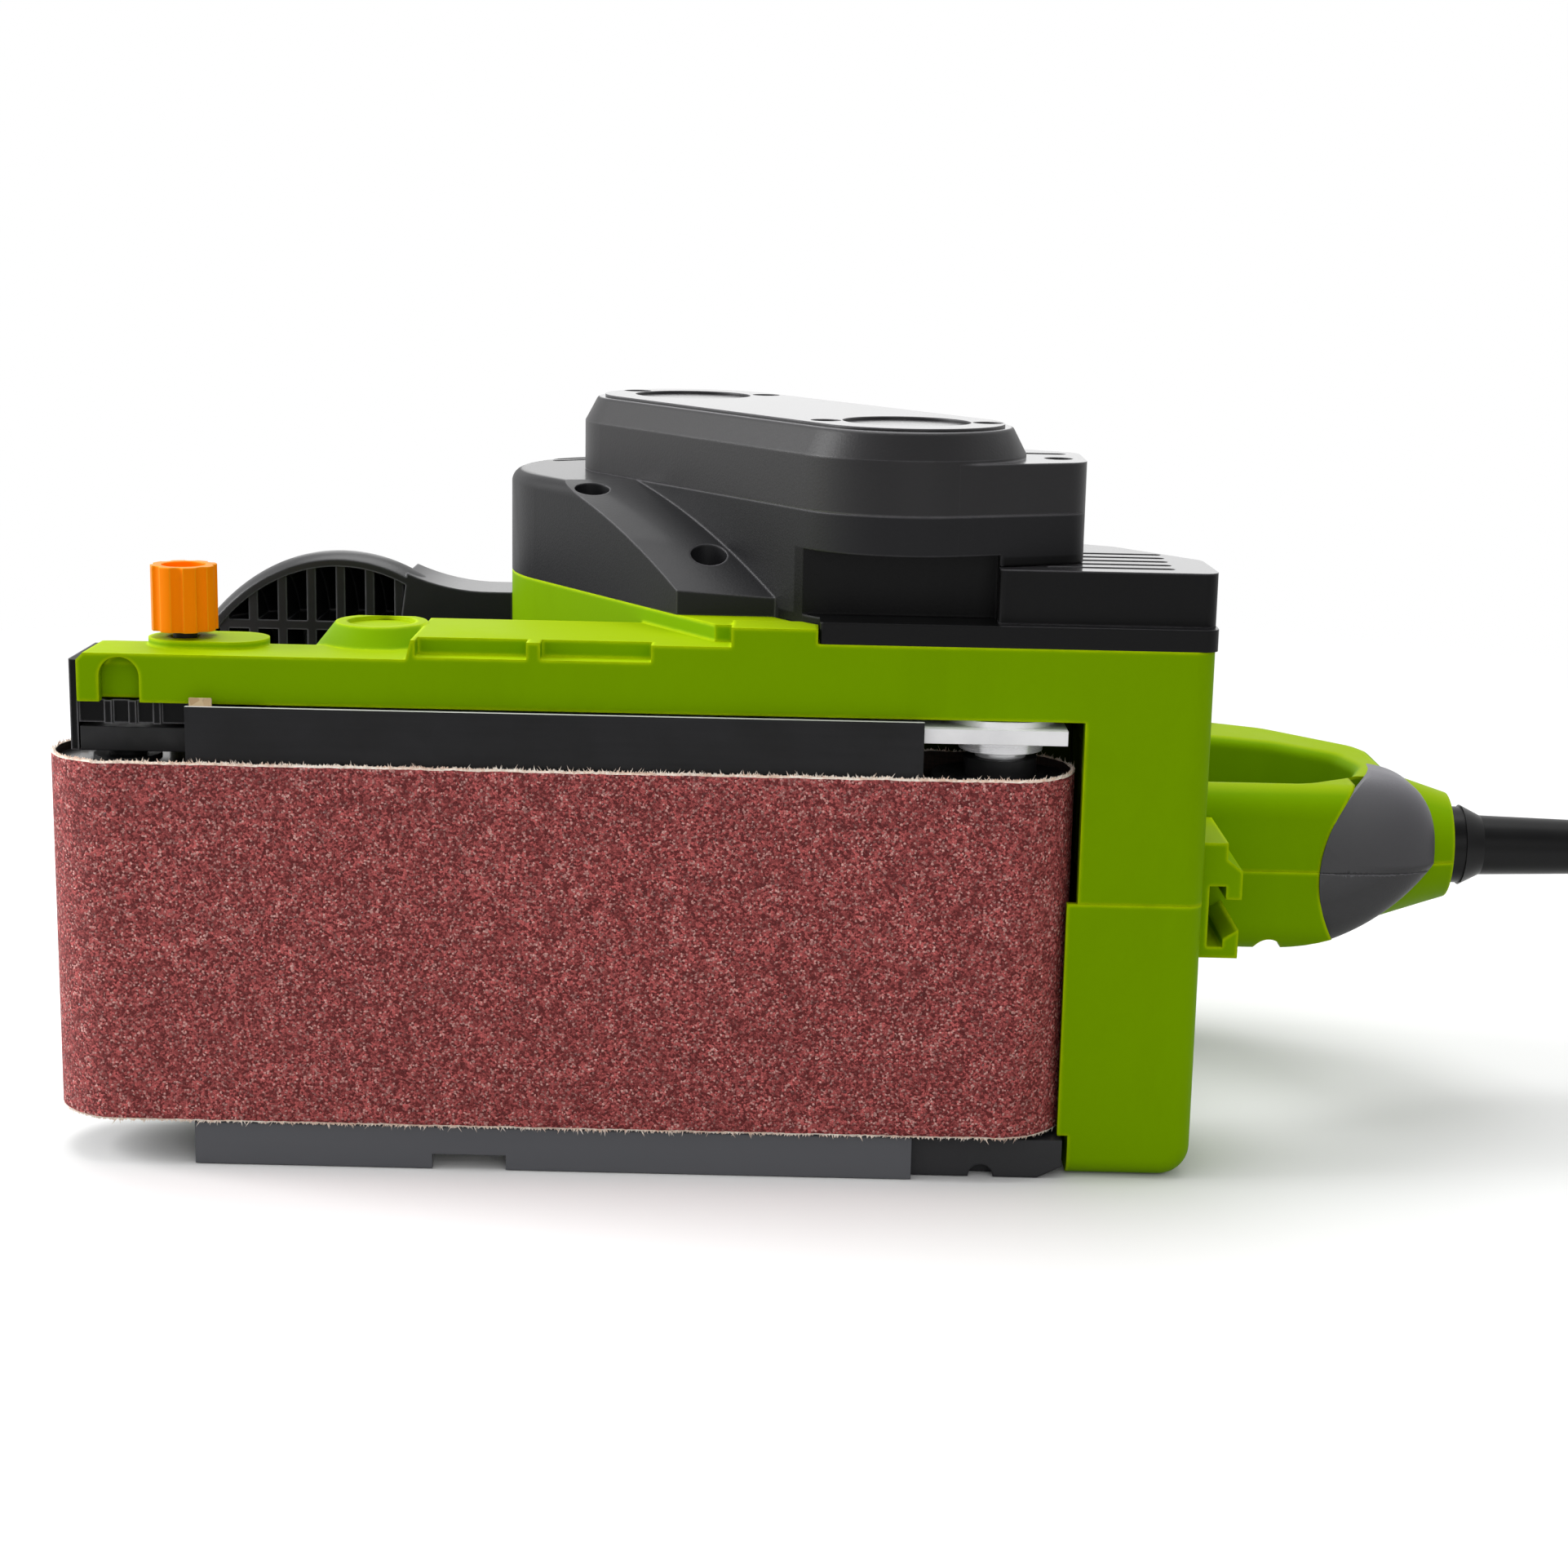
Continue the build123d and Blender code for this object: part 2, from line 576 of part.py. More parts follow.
with BuildPart() as tail_waste:
    with BuildSketch(lower(30)):
        with Locations((TAIL_S + 20, TAIL_Z)):
            Rectangle(40, 60)
        with Locations((TAIL_S, TAIL_Z)):
            Circle(TAIL_R, mode=Mode.SUBTRACT)
    extrude(amount=-110)
    with BuildSketch(lower(30)):
        with Locations((SWEEP_S + 30, SWEEP_Z - 28)):
            Rectangle(60, 56)
        with Locations((SWEEP_S, SWEEP_Z)):
            Circle(SWEEP_R, mode=Mode.SUBTRACT)
    extrude(amount=-110)
with BuildPart() as core_waste:
    with BuildSketch(lower(30)):
        with Locations((TAIL_S + 20, TAIL_Z)):
            Rectangle(40, 60)
        with Locations((TAIL_S, TAIL_Z)):
            Circle(TAIL_R - PAD_SKIN, mode=Mode.SUBTRACT)
    extrude(amount=-110)
    with BuildSketch(lower(30)):
        with Locations((SWEEP_S + 30, SWEEP_Z - 28)):
            Rectangle(60, 56)
        with Locations((SWEEP_S, SWEEP_Z)):
            Circle(SWEEP_R - PAD_SKIN, mode=Mode.SUBTRACT)
    extrude(amount=-110)
with BuildPart() as grip_left:
    with BuildSketch(side(PARTING)):
        add(ring_outer.sketch_local)
        add(ring_hole.sketch_local, mode=Mode.SUBTRACT)
    extrude(amount=HANDLE_Z[1] - PARTING)
    fillet(faces().sort_by(Axis.Z)[-1].outer_wire().edges(), SOFT)
    fillet(faces().sort_by(Axis.Z)[-1].inner_wires()[0].edges(), RIM)
    add(tail_waste.part, mode=Mode.SUBTRACT)
with BuildPart() as grip_right:
    with BuildSketch(side(HANDLE_Z[0])):
        add(ring_outer.sketch_local)
        add(ring_hole.sketch_local, mode=Mode.SUBTRACT)
    extrude(amount=PARTING - HANDLE_Z[0])
    fillet(faces().sort_by(Axis.Z)[0].outer_wire().edges(), SOFT)
    fillet(faces().sort_by(Axis.Z)[0].inner_wires()[0].edges(), RIM)
    add(tail_waste.part, mode=Mode.SUBTRACT)
with BuildPart() as pad_core:
    with BuildSketch(side(HANDLE_Z[0] + PAD_SKIN)):
        add(ring_core.sketch_local)
    extrude(amount=HANDLE_Z[1] - HANDLE_Z[0] - 2 * PAD_SKIN)
    add(core_waste.part, mode=Mode.SUBTRACT)
with BuildPart() as pad_zone:
    with BuildSketch(lower(30)):
        with Locations(PAD_SEAM):
            Circle(PAD_SEAM_R)
    extrude(amount=-(PAD_BACK_H - 30))
    add(pad_core.part, mode=Mode.SUBTRACT)

with BuildPart() as handle_pad_left:
    add(grip_left.part)
    add(pad_zone.part, mode=Mode.INTERSECT)
handle_pad_left.part.label = "handle_pad_left"
export_step(handle_pad_left.part, "parts/handle_pad_left.step")

with BuildPart() as handle_pad_right:
    add(grip_right.part)
    add(pad_zone.part, mode=Mode.INTERSECT)
handle_pad_right.part.label = "handle_pad_right"
export_step(handle_pad_right.part, "parts/handle_pad_right.step")

with BuildPart() as handle_left:
    add(grip_left.part)
    with BuildSketch(across(285)):
        with Locations((CORD_H, CORD_Z)):
            Circle(BOSS_ROOT_R)
    with BuildSketch(across(BOSS_S)):
        with Locations((CORD_H, CORD_Z)):
            Circle(BOSS_R)
    loft()
    block((280, 305), (40, 90), (30, PARTING), mode=Mode.SUBTRACT)
with BuildPart() as handle_right:
    add(grip_right.part)
    with BuildSketch(across(285)):
        with Locations((CORD_H, CORD_Z)):
            Circle(BOSS_ROOT_R)
    with BuildSketch(across(BOSS_S)):
        with Locations((CORD_H, CORD_Z)):
            Circle(BOSS_R)
    loft()
    block((280, 305), (40, 90), (PARTING, 90), mode=Mode.SUBTRACT)

# Screw centres shared by the shells, the gear housing and the cover
NEAR_SCREW = ob(47.5, -24.4)
FAR_SCREW = ob(40, 24)
BARREL_SCREWS = [NEAR_SCREW, FAR_SCREW]
HANDLE_SCREWS = [(233, 43.5), (277.5, 93), (183, 122)]
RAMP_SCREWS = [ob(55.5, -29.8), ob(18.2, -37.2)]
RAMP_WELL_Z = 118.6
RAMP_WELL_R = 3.9
RAMP_TIP_Z = 105.0
SHELL_SCREW_R = 1.7
COVER_SCREWS = [ob(-16, -5.5), ob(6, 16.4)]
COVER_POCKETS = [ob(76.6, -14.9), ob(94, 14)]
WING_SCREW = (207.5, 27)
COVER_SCREW_R = 1.5

# Switch space in the far bar of the handle
SWITCH_Z = (46.0, 72.0)
TRIGGER_S = (216.0, 236.0)
TRIGGER_Z = (51.0, 67.0)
TRIGGER_WALL_H = 107.0
LOCK = (250.0, 115.0)
LOCK_R = 5.0
DUST_WINDOW = ((POST_S[1] - 4, POST_S[1] + 2), (14, 31), (50, 61.5))

# Left shell
with BuildPart() as left_shell:
    with BuildSketch(side(PARTING)):
        add(barrel_outline.sketch_local)
    extrude(amount=GEAR_Z - PARTING)
    with BuildSketch(lower(SKIRT_H)):
        with BuildLine():
            Polyline(
                (RAIL_S, RAIL_LOW),
                (RAIL_S, RAIL_TOP - 1.4),
                (RAIL_S + 1.4, RAIL_TOP),
                (75, RAIL_TOP),
                (76, RAISED_TOP),
                (141, RAISED_TOP),
                (141, GEAR_Z),
                (POST_S[1], GEAR_Z),
                (POST_S[1], PARTING),
                (POST_S[0], PARTING),
                (POST_S[0], RAIL_LOW),
                close=True,
            )
        make_face()
    extrude(amount=-(DECK_TOP_H - SKIRT_H))
    corner = edges().filter_by(Axis.Z).sort_by_distance((NOSE_X + POST_S[1], FACE_Y + SKIRT_H, 85))[0]
    fillet(corner, EDGE_R)
    block((20, 140), (DECK_H, DECK_TOP_H), (PARTING, RAIL_LOW + 1))
    with BuildSketch(across(RAIL_S - 1)):
        with BuildLine():
            Polyline(
                (RAIL_FALL_H, RAIL_TOP),
                (DECK_TOP_H + 1, RAIL_TOP - 2.5),
                (DECK_TOP_H + 1, RAIL_TOP + 1),
                (RAIL_FALL_H, RAIL_TOP + 1),
                close=True,
            )
        make_face()
    extrude(amount=75 - RAIL_S + 1, mode=Mode.SUBTRACT)
    with BuildSketch(side(GEAR_Z - 1)):
        with Locations((149.75, 10.25)):
            Rectangle(17.5, 10.5)
        with Locations(COUNTER):
            Circle(LOBE_R + GAP, mode=Mode.SUBTRACT)
    extrude(amount=4)
    with BuildSketch(side(GEAR_Z - 1)):
        add(shelf_outline.sketch_local)
    extrude(amount=SHELF_Z - GEAR_Z + 1)
    add(handle_left.part)
    # Hollow barrel, rail channel, post and gear space
    with BuildSketch(side(PARTING)):
        add(barrel_inside.sketch_local)
    extrude(amount=GEAR_Z - WALL - PARTING, mode=Mode.SUBTRACT)
    block(
        (RAIL_S + WALL, 210.6), (SKIRT_H + WALL, DECK_H), (RAIL_LOW - 1, RAIL_TOP - WALL),
        mode=Mode.SUBTRACT,
    )
    block(
        (POST_S[0] + WALL, POST_S[1] - WALL), (SKIRT_H + WALL, DECK_H), (PARTING, GEAR_Z - WALL),
        mode=Mode.SUBTRACT,
    )
    block((POST_S[0] - 1, POST_S[0] + 3), (12, 30), (62, 92), mode=Mode.SUBTRACT)
    block((162, 210.6), (SKIRT_H + WALL, DECK_H), (RAIL_LOW - 1, GEAR_Z + 1), mode=Mode.SUBTRACT)
    rod(DRIVE, 9.2, (RAIL_LOW - 1, GEAR_Z + 1), mode=Mode.SUBTRACT)
    rod(COUNTER, 12.8, (RAIL_LOW - 1, GEAR_Z + 1), mode=Mode.SUBTRACT)
    block((149, 214.5), (DECK_H - 1, 46), (92.2, 99), mode=Mode.SUBTRACT)
    # Motor bearing boss, stator seat and screw columns
    rod(MOTOR, 13.6, (97, GEAR_Z))
    rod(MOTOR, MOTOR_BEARING_R + SLIP, (96, 104), mode=Mode.SUBTRACT)
    rod(MOTOR, 6.0, (96, GEAR_Z + 1), mode=Mode.SUBTRACT)
    with BuildSketch(side(68)):
        add(barrel_inside.sketch_local)
        with Locations(Location((MOTOR_S, MOTOR_H), LEAN)):
            Rectangle(84, 84, mode=Mode.INTERSECT)
            Circle(28.2, mode=Mode.SUBTRACT)
    extrude(amount=2)
    for at in BARREL_SCREWS:
        rod(at, 4.6, (PARTING, GEAR_Z - 1))
        rod(at, SHELL_SCREW_R + SLIP, (PARTING - 1, 74), mode=Mode.SUBTRACT)
    for at in RAMP_SCREWS:
        rod(at, 3.2, (RAMP_TIP_Z - 2, SHELF_Z - 1))
        rod(at, SHELL_SCREW_R + SLIP, (RAMP_TIP_Z - 1, SHELF_Z + 1), mode=Mode.SUBTRACT)
    for at in FRAME_SCREWS:
        rod(at, 3.6, (PLATE_TOP, RAIL_TOP - WALL))
        rod(at, FRAME_SCREW_R + SLIP, (PLATE_TOP - 1, 103), mode=Mode.SUBTRACT)
    # Features of the rail's face and top
    for recess_s in ((76.9, 99.5), (102.3, 124.8)):
        block(recess_s, (SKIRT_H - 1, 9.6), (107.5, GEAR_Z), mode=Mode.SUBTRACT)
    with BuildSketch(lower(SKIRT_H + WALL + 1)):
        with Locations((16.65, 102.15)):
            Circle(4.15)
        with Locations((16.65, 99)):
            Rectangle(8.3, 6.3)
    extrude(amount=6, mode=Mode.SUBTRACT)
    block(
        (RAIL_S + 2, 22.5), (SKIRT_H + WALL + 1.2, SKIRT_H + WALL + 2.4), (RAIL_LOW + GAP, RAIL_TOP - WALL)
    )
    with BuildSketch(side(RAIL_TOP - WALL)):
        with Locations(FRAME_SCREWS[0]):
            Circle(15.0)
    with BuildSketch(side(RAISED_TOP + 0.2)):
        with Locations(FRAME_SCREWS[0]):
            Circle(9.6)
    loft()
    rod(FRAME_SCREWS[0], 7.2, (RAISED_TOP - 0.7, GEAR_Z + 1), mode=Mode.SUBTRACT)
    block((45, 75), (DECK_TOP_H + 0.5, 50), (RAIL_TOP - WALL - 1, GEAR_Z + 1), mode=Mode.SUBTRACT)
    with BuildSketch(side(RAIL_TOP - 2.4)):
        with Locations((32, TRACK[1])):
            SlotOverall(25, 15)
    extrude(amount=3.9)
    rod(TRACK, TRACK_R + 0.7, (RAIL_LOW, KNOB_LOW), mode=Mode.SUBTRACT)
    # Handle: switch space, trigger opening, lock button, cord inlet, pad seats and screw holes
    block((196, 238), (TRIGGER_WALL_H, 128), (PARTING - 1, SWITCH_Z[1]), mode=Mode.SUBTRACT)
    block(
        TRIGGER_S, (TRIGGER_WALL_H - 16, TRIGGER_WALL_H + 1), (PARTING - 1, TRIGGER_Z[1]),
        mode=Mode.SUBTRACT,
    )
    rod(LOCK, 7.6, (PARTING - 1, 74.5), mode=Mode.SUBTRACT)
    rod(LOCK, LOCK_R + GAP, (PARTING, 80), mode=Mode.SUBTRACT)
    spindle((294.4, 302), CORD_H, CORD_Z, SLEEVE_R + SLIP, mode=Mode.SUBTRACT)
    add(handle_pad_left.part, mode=Mode.SUBTRACT)
    for at in HANDLE_SCREWS:
        rod(at, SHELL_SCREW_R + SLIP, (PARTING - 1, 70), mode=Mode.SUBTRACT)
    block(*DUST_WINDOW, mode=Mode.SUBTRACT)
left_shell.part.label = "left_shell"
export_step(left_shell.part, "parts/left_shell.step")

# Right shell
END_Z = 0.0
END_IN = END_Z + WALL
HEAD_Z = 46.0
CORNER_R = 6.5
with BuildPart() as right_shell:
    with BuildSketch(side(END_Z)):
        add(barrel_outline.sketch_local)
    extrude(amount=PARTING - END_Z)
    with BuildSketch(lower(SKIRT_H)):
        with BuildLine():
            Polyline(
                (POST_S[1], CORNER_R), (POST_S[1], PARTING), (POST_S[0], PARTING), (POST_S[0], 0),
                (POST_S[1] - CORNER_R, 0),
            )
            RadiusArc((POST_S[1] - CORNER_R, 0), (POST_S[1], CORNER_R), -CORNER_R)
        make_face()
    extrude(amount=-(DECK_TOP_H - SKIRT_H))
    corner = edges().filter_by(Axis.Z).sort_by_distance((NOSE_X + POST_S[1], FACE_Y + SKIRT_H, 35))[0]
    fillet(corner, EDGE_R)
    block((211, POST_S[0] + 1), (SKIRT_H, SKIRT_H + 2), (9, PARTING))
    block((20, 140), (DECK_H, DECK_TOP_H), (4, PARTING))
    add(handle_right.part)
    # Hollow barrel, post and dust intake
    with BuildSketch(side(END_IN)):
        add(barrel_inside.sketch_local)
    extrude(amount=PARTING - END_IN, mode=Mode.SUBTRACT)
    block(
        (POST_S[0] + WALL, POST_S[1] - WALL), (SKIRT_H + WALL, DECK_H), (WALL, PARTING + 1),
        mode=Mode.SUBTRACT,
    )
    block((POST_S[0] - 1, POST_S[0] + 3), (12, 30), (14, 57), mode=Mode.SUBTRACT)
    block(*DUST_WINDOW, mode=Mode.SUBTRACT)
    # Motor bearing boss, stator ledge and seat, brush holder posts, vents
    rod(MOTOR, 12.2, (END_Z + 1, 10.6))
    rod(MOTOR, BEARING_R + SLIP, (END_IN, 11), mode=Mode.SUBTRACT)
    with BuildSketch(side(28)):
        add(barrel_inside.sketch_local)
        with Locations(Location((MOTOR_S, MOTOR_H), LEAN)):
            Rectangle(84, 84, mode=Mode.INTERSECT)
            Circle(27.4, mode=Mode.SUBTRACT)
    extrude(amount=2)
    for b in (-1, 1):
        with BuildSketch(oblique(END_IN - 0.5)):
            with Locations((0, b * 20)):
                Rectangle(8, 9)
        extrude(amount=13 - END_IN + 0.5)
    with BuildSketch(oblique(END_Z - 1)):
        with Locations((-32, 0), (-26, 0), (-20, 0), (20, 0), (26, 0), (32, 0)):
            SlotOverall(34, 2.6, rotation=90)
    extrude(amount=WALL + 2, mode=Mode.SUBTRACT)
    # Screw columns and holes
    for at in BARREL_SCREWS:
        rod(at, 6.0, (END_IN - 0.5, PARTING))
        rod(at, 4.2, (END_Z - 1, HEAD_Z), mode=Mode.SUBTRACT)
        rod(at, SHELL_SCREW_R + SLIP, (HEAD_Z - 1, PARTING + 1), mode=Mode.SUBTRACT)
    for at in HANDLE_SCREWS:
        rod(at, 3.4, (HANDLE_Z[0] - 1, HEAD_Z), mode=Mode.SUBTRACT)
        rod(at, SHELL_SCREW_R + SLIP, (HEAD_Z - 1, PARTING + 1), mode=Mode.SUBTRACT)
    # Handle: switch space, trigger opening, cord inlet, pad seats
    block((196, 238), (TRIGGER_WALL_H, 128), (SWITCH_Z[0], PARTING + 1), mode=Mode.SUBTRACT)
    block(
        TRIGGER_S, (TRIGGER_WALL_H - 16, TRIGGER_WALL_H + 1), (TRIGGER_Z[0], PARTING + 1),
        mode=Mode.SUBTRACT,
    )
    spindle((294.4, 302), CORD_H, CORD_Z, SLEEVE_R + SLIP, mode=Mode.SUBTRACT)
    add(handle_pad_right.part, mode=Mode.SUBTRACT)
    with BuildSketch(lower(36)):
        with Locations((259, HANDLE_Z[0])):
            Circle(3.0)
    extrude(amount=-16, mode=Mode.SUBTRACT)
right_shell.part.label = "right_shell"
export_step(right_shell.part, "parts/right_shell.step")

with BuildPart() as shell_screws:
    for at in BARREL_SCREWS:
        rod(at, 3.6, (HEAD_Z - 2.4, HEAD_Z))
        rod(at, SHELL_SCREW_R, (HEAD_Z, 72))
    for at in HANDLE_SCREWS:
        rod(at, 3.2, (HEAD_Z - 2.4, HEAD_Z))
        rod(at, SHELL_SCREW_R, (HEAD_Z, 69))
shell_screws.part.label = "shell_screws"
export_step(shell_screws.part, "parts/shell_screws.step")

# Gear housing: flange strip, motor block with its ramp, lobes and the countershaft's upper seat
BLOCK_EDGE_R = 3.0
SEAT_LOW = 120.0
GRILLE_TOP = 127.6
SEAT_LEDGE = 127.2
NOTCH_WALL_H = 16.2
with BuildSketch(side(0)) as wing_outline:
    with BuildLine():
        FilletPolyline(
            (178, 9), (186.1, 7.1), (213, 19), (213, 42), (196, 52), (178, 52),
            radius=[1, 1, 6, 6, 4, 1], close=True,
        )
    make_face()
    with Locations(Location(ob(CENTRES / 2, 0), LEAN)):
        SlotCenterToCenter(CENTRES, 2 * LOBE_R - 2, mode=Mode.SUBTRACT)
with BuildPart() as near_ramp:
    with BuildSketch(flank(-BARREL_R - 2)):
        with BuildLine():
            Line((8, 150), (8, CAP_LOW))
            ThreePointArc((8, CAP_LOW), (37, 130.2), (66, 117.2))
            Polyline((66, 117.2), (66, 150), (8, 150))
        make_face()
    with BuildSketch(flank(-LOBE_R + 0.5)):
        with BuildLine():
            Line((16, 150), (16, CAP_LOW))
            ThreePointArc((16, CAP_LOW), (51, 128.4), (80, 115.6))
            Polyline((80, 115.6), (80, 150), (16, 150))
        make_face()
    loft(ruled=True)
with BuildPart() as far_ramp:
    with BuildSketch(flank(LOBE_R - 0.5)):
        with BuildLine():
            Line((16, 150), (16, CAP_LOW))
            ThreePointArc((16, CAP_LOW), (51, 128.4), (80, 115.6))
            Polyline((80, 115.6), (80, 150), (16, 150))
        make_face()
    with BuildSketch(flank(BARREL_R + 8)):
        with BuildLine():
            Line((8, 150), (8, CAP_LOW))
            ThreePointArc((8, CAP_LOW), (37, 130.2), (66, 117.2))
            Polyline((66, 117.2), (66, 150), (8, 150))
        make_face()
    loft(ruled=True)
with BuildPart() as motor_block:
    with BuildSketch(side(SHELF_Z)):
        add(block_outline.sketch_local)
    extrude(amount=CAP_LOW - 0.1 - SHELF_Z)
    fillet(faces().sort_by(Axis.Z)[-1].edges(), BLOCK_EDGE_R)
    add(near_ramp.part, mode=Mode.SUBTRACT)
    add(far_ramp.part, mode=Mode.SUBTRACT)
with BuildPart() as gear_housing:
    with BuildSketch(side(GEAR_Z)):
        with BuildLine():
            FilletPolyline(
                (STRIP_S, SKIRT_H), (POST_S[1] + 0.4, SKIRT_H), (POST_S[1] + 0.4, DECK_H), (220, 53.6),
                WAIST, ob(WAIST_A, -LOBE_R), (STRIP_S, 22),
                radius=[1, 3, 1, 8, 10, 1, 0.5], close=True,
            )
        make_face()
    extrude(amount=STRIP_TOP - GEAR_Z)
    with BuildSketch(oblique(GEAR_Z)):
        with Locations((CENTRES / 2, 0)):
            SlotCenterToCenter(CENTRES, 2 * LOBE_R)
    extrude(amount=CAP_LOW - GEAR_Z)
    add(motor_block.part)
    # Inside: pulley well, motor end and the countershaft's seat
    with BuildSketch(side(GEAR_Z - 1)):
        with Locations(Location(ob(CENTRES / 2, 0), LEAN)):
            SlotCenterToCenter(CENTRES, 2 * (LOBE_R - 3))
        with Locations((COUNTER_S, NOTCH_WALL_H + WALL - 20)):
            Rectangle(80, 40, mode=Mode.SUBTRACT)
    extrude(amount=CAP_LOW - WALL - GEAR_Z + 1, mode=Mode.SUBTRACT)
    with BuildSketch(oblique(GEAR_Z - 1)):
        with Locations((-31, 0)):
            Rectangle(20, 36)
    extrude(amount=19, mode=Mode.SUBTRACT)
    rod(COUNTER, 12.4, (SEAT_LOW, CAP_LOW - 1))
    with BuildSketch(side(GRILLE_TOP + 0.2)):
        add(wing_outline.sketch_local)
    extrude(amount=CAP_LOW - GRILLE_TOP - 0.2)
    block((153.4, 195), (SKIRT_H - 3, NOTCH_WALL_H), (STRIP_TOP, 130), mode=Mode.SUBTRACT)
    rod(COUNTER, BEARING_R + SLIP, (SEAT_LOW - 1, SEAT_LEDGE), mode=Mode.SUBTRACT)
    rod(COUNTER, 6.4, (GEAR_Z - 1, CAP_LOW + 1), mode=Mode.SUBTRACT)
    rod(MOTOR, 7.0, (CAP_LOW - 5, CAP_LOW + 1), mode=Mode.SUBTRACT)
    # Ramp screw wells, cover screw holes and the vents at the motor's end
    for at in RAMP_SCREWS:
        rod(at, RAMP_WELL_R, (RAMP_WELL_Z, CAP_LOW + 1), mode=Mode.SUBTRACT)
        rod(at, SHELL_SCREW_R + SLIP, (SHELF_Z - 1, RAMP_WELL_Z + 1), mode=Mode.SUBTRACT)
    for at in COVER_SCREWS:
        rod(at, COVER_SCREW_R + SLIP, (130, CAP_LOW + 1), mode=Mode.SUBTRACT)
    with BuildSketch(oblique(129)):
        with Locations((-39, -12), (-35, -12), (-31, -12)):
            SlotOverall(16, 2.2, rotation=90)
    extrude(amount=10, mode=Mode.SUBTRACT)
    with BuildSketch(side(STRIP_TOP - 2)):
        with Locations((220, 26)):
            Rectangle(24, 24)
    extrude(amount=-10, mode=Mode.SUBTRACT)
    with BuildSketch(side(STRIP_TOP - 3)):
        with Locations((220, 20), (220, 32)):
            SlotOverall(22, 6)
    extrude(amount=5, mode=Mode.SUBTRACT)
gear_housing.part.label = "gear_housing"
export_step(gear_housing.part, "parts/gear_housing.step")

with BuildPart() as housing_screws:
    for at in RAMP_SCREWS:
        rod(at, RAMP_WELL_R - 0.6, (RAMP_WELL_Z, RAMP_WELL_Z + 2.2))
        rod(at, SHELL_SCREW_R, (RAMP_TIP_Z, RAMP_WELL_Z))
housing_screws.part.label = "housing_screws"
export_step(housing_screws.part, "parts/housing_screws.step")

# Drive cover: stadium cap with a bevelled rim and the wing over the roller's end
CAP_RIM = 5.5
CAP_LEAN = 28.0
with BuildPart() as drive_cover:
    with BuildSketch(oblique(CAP_LOW)):
        with Locations((CENTRES / 2, 0)):
            SlotCenterToCenter(CENTRES, 2 * LOBE_R)
    extrude(amount=CAP_TOP - CAP_RIM - CAP_LOW)
    with BuildSketch(oblique(CAP_TOP - CAP_RIM)):
        with Locations((CENTRES / 2, 0)):
            SlotCenterToCenter(CENTRES, 2 * LOBE_R)
    extrude(amount=CAP_RIM, taper=CAP_LEAN)
    fillet(faces().sort_by(Axis.Z)[-1].edges(), 1.0)
    with BuildSketch(side(CAP_LOW)):
        add(wing_outline.sketch_local)
    extrude(amount=WING_TOP - CAP_LOW)
    with BuildSketch(oblique(CAP_LOW)):
        with Locations((CENTRES / 2, 0)):
            SlotCenterToCenter(CENTRES, 2 * (LOBE_R - 2.5))
    extrude(amount=CAP_TOP - 2.5 - CAP_LOW, mode=Mode.SUBTRACT)
    for at in COVER_SCREWS:
        rod(at, 3.6, (CAP_LOW, CAP_TOP - 1))
        rod(at, 3.0, (150.6, CAP_TOP + 1), mode=Mode.SUBTRACT)
        rod(at, COVER_SCREW_R + SLIP, (CAP_LOW - 1, CAP_TOP), mode=Mode.SUBTRACT)
    for at in COVER_POCKETS:
        rod(at, 3.0, (CAP_TOP - 1.6, CAP_TOP + 1), mode=Mode.SUBTRACT)
    rod(WING_SCREW, 3.0, (144.4, WING_TOP + 1), mode=Mode.SUBTRACT)
    with BuildSketch(side(WING_TOP - 1.5)):
        with Locations((203, 38)):
            SlotOverall(14, 3.4)
    extrude(amount=3, mode=Mode.SUBTRACT)
drive_cover.part.label = "drive_cover"
export_step(drive_cover.part, "parts/drive_cover.step")

with BuildPart() as cover_screws:
    for at in COVER_SCREWS:
        rod(at, 2.8, (150.6, 153))
        rod(at, COVER_SCREW_R, (134, 150.6))
cover_screws.part.label = "cover_screws"
export_step(cover_screws.part, "parts/cover_screws.step")

# Rear vent grille on the flange strip
with BuildSketch(side(0)) as grille_outline:
    with BuildLine():
        FilletPolyline(
            (195, 8), (239.5, 8), (238.7, 30), (222.4, 51.3), (214, 56), (196, 56),
            radius=[1, 3, 6, 6, 3, 2], close=True,
        )
    make_face()
    with Locations(COUNTER):
        Circle(LOBE_R + 0.4, mode=Mode.SUBTRACT)
with BuildPart() as vent_grille:
    with BuildSketch(side(STRIP_TOP)):
        add(grille_outline.sketch_local)
    extrude(amount=GRILLE_TOP - STRIP_TOP)
    with BuildSketch(side(STRIP_TOP)):
        add(grille_outline.sketch_local)
        offset(amount=-2, mode=Mode.REPLACE)
    extrude(amount=GRILLE_TOP - STRIP_TOP - 2, mode=Mode.SUBTRACT)
    with BuildSketch(side(GRILLE_TOP - 3)):
        for slot_h in (14, 20, 26, 32, 38):
            with Locations((218, slot_h)):
                SlotOverall(26, 2.6)
    extrude(amount=5, mode=Mode.SUBTRACT)
vent_grille.part.label = "vent_grille"
export_step(vent_grille.part, "parts/vent_grille.step")

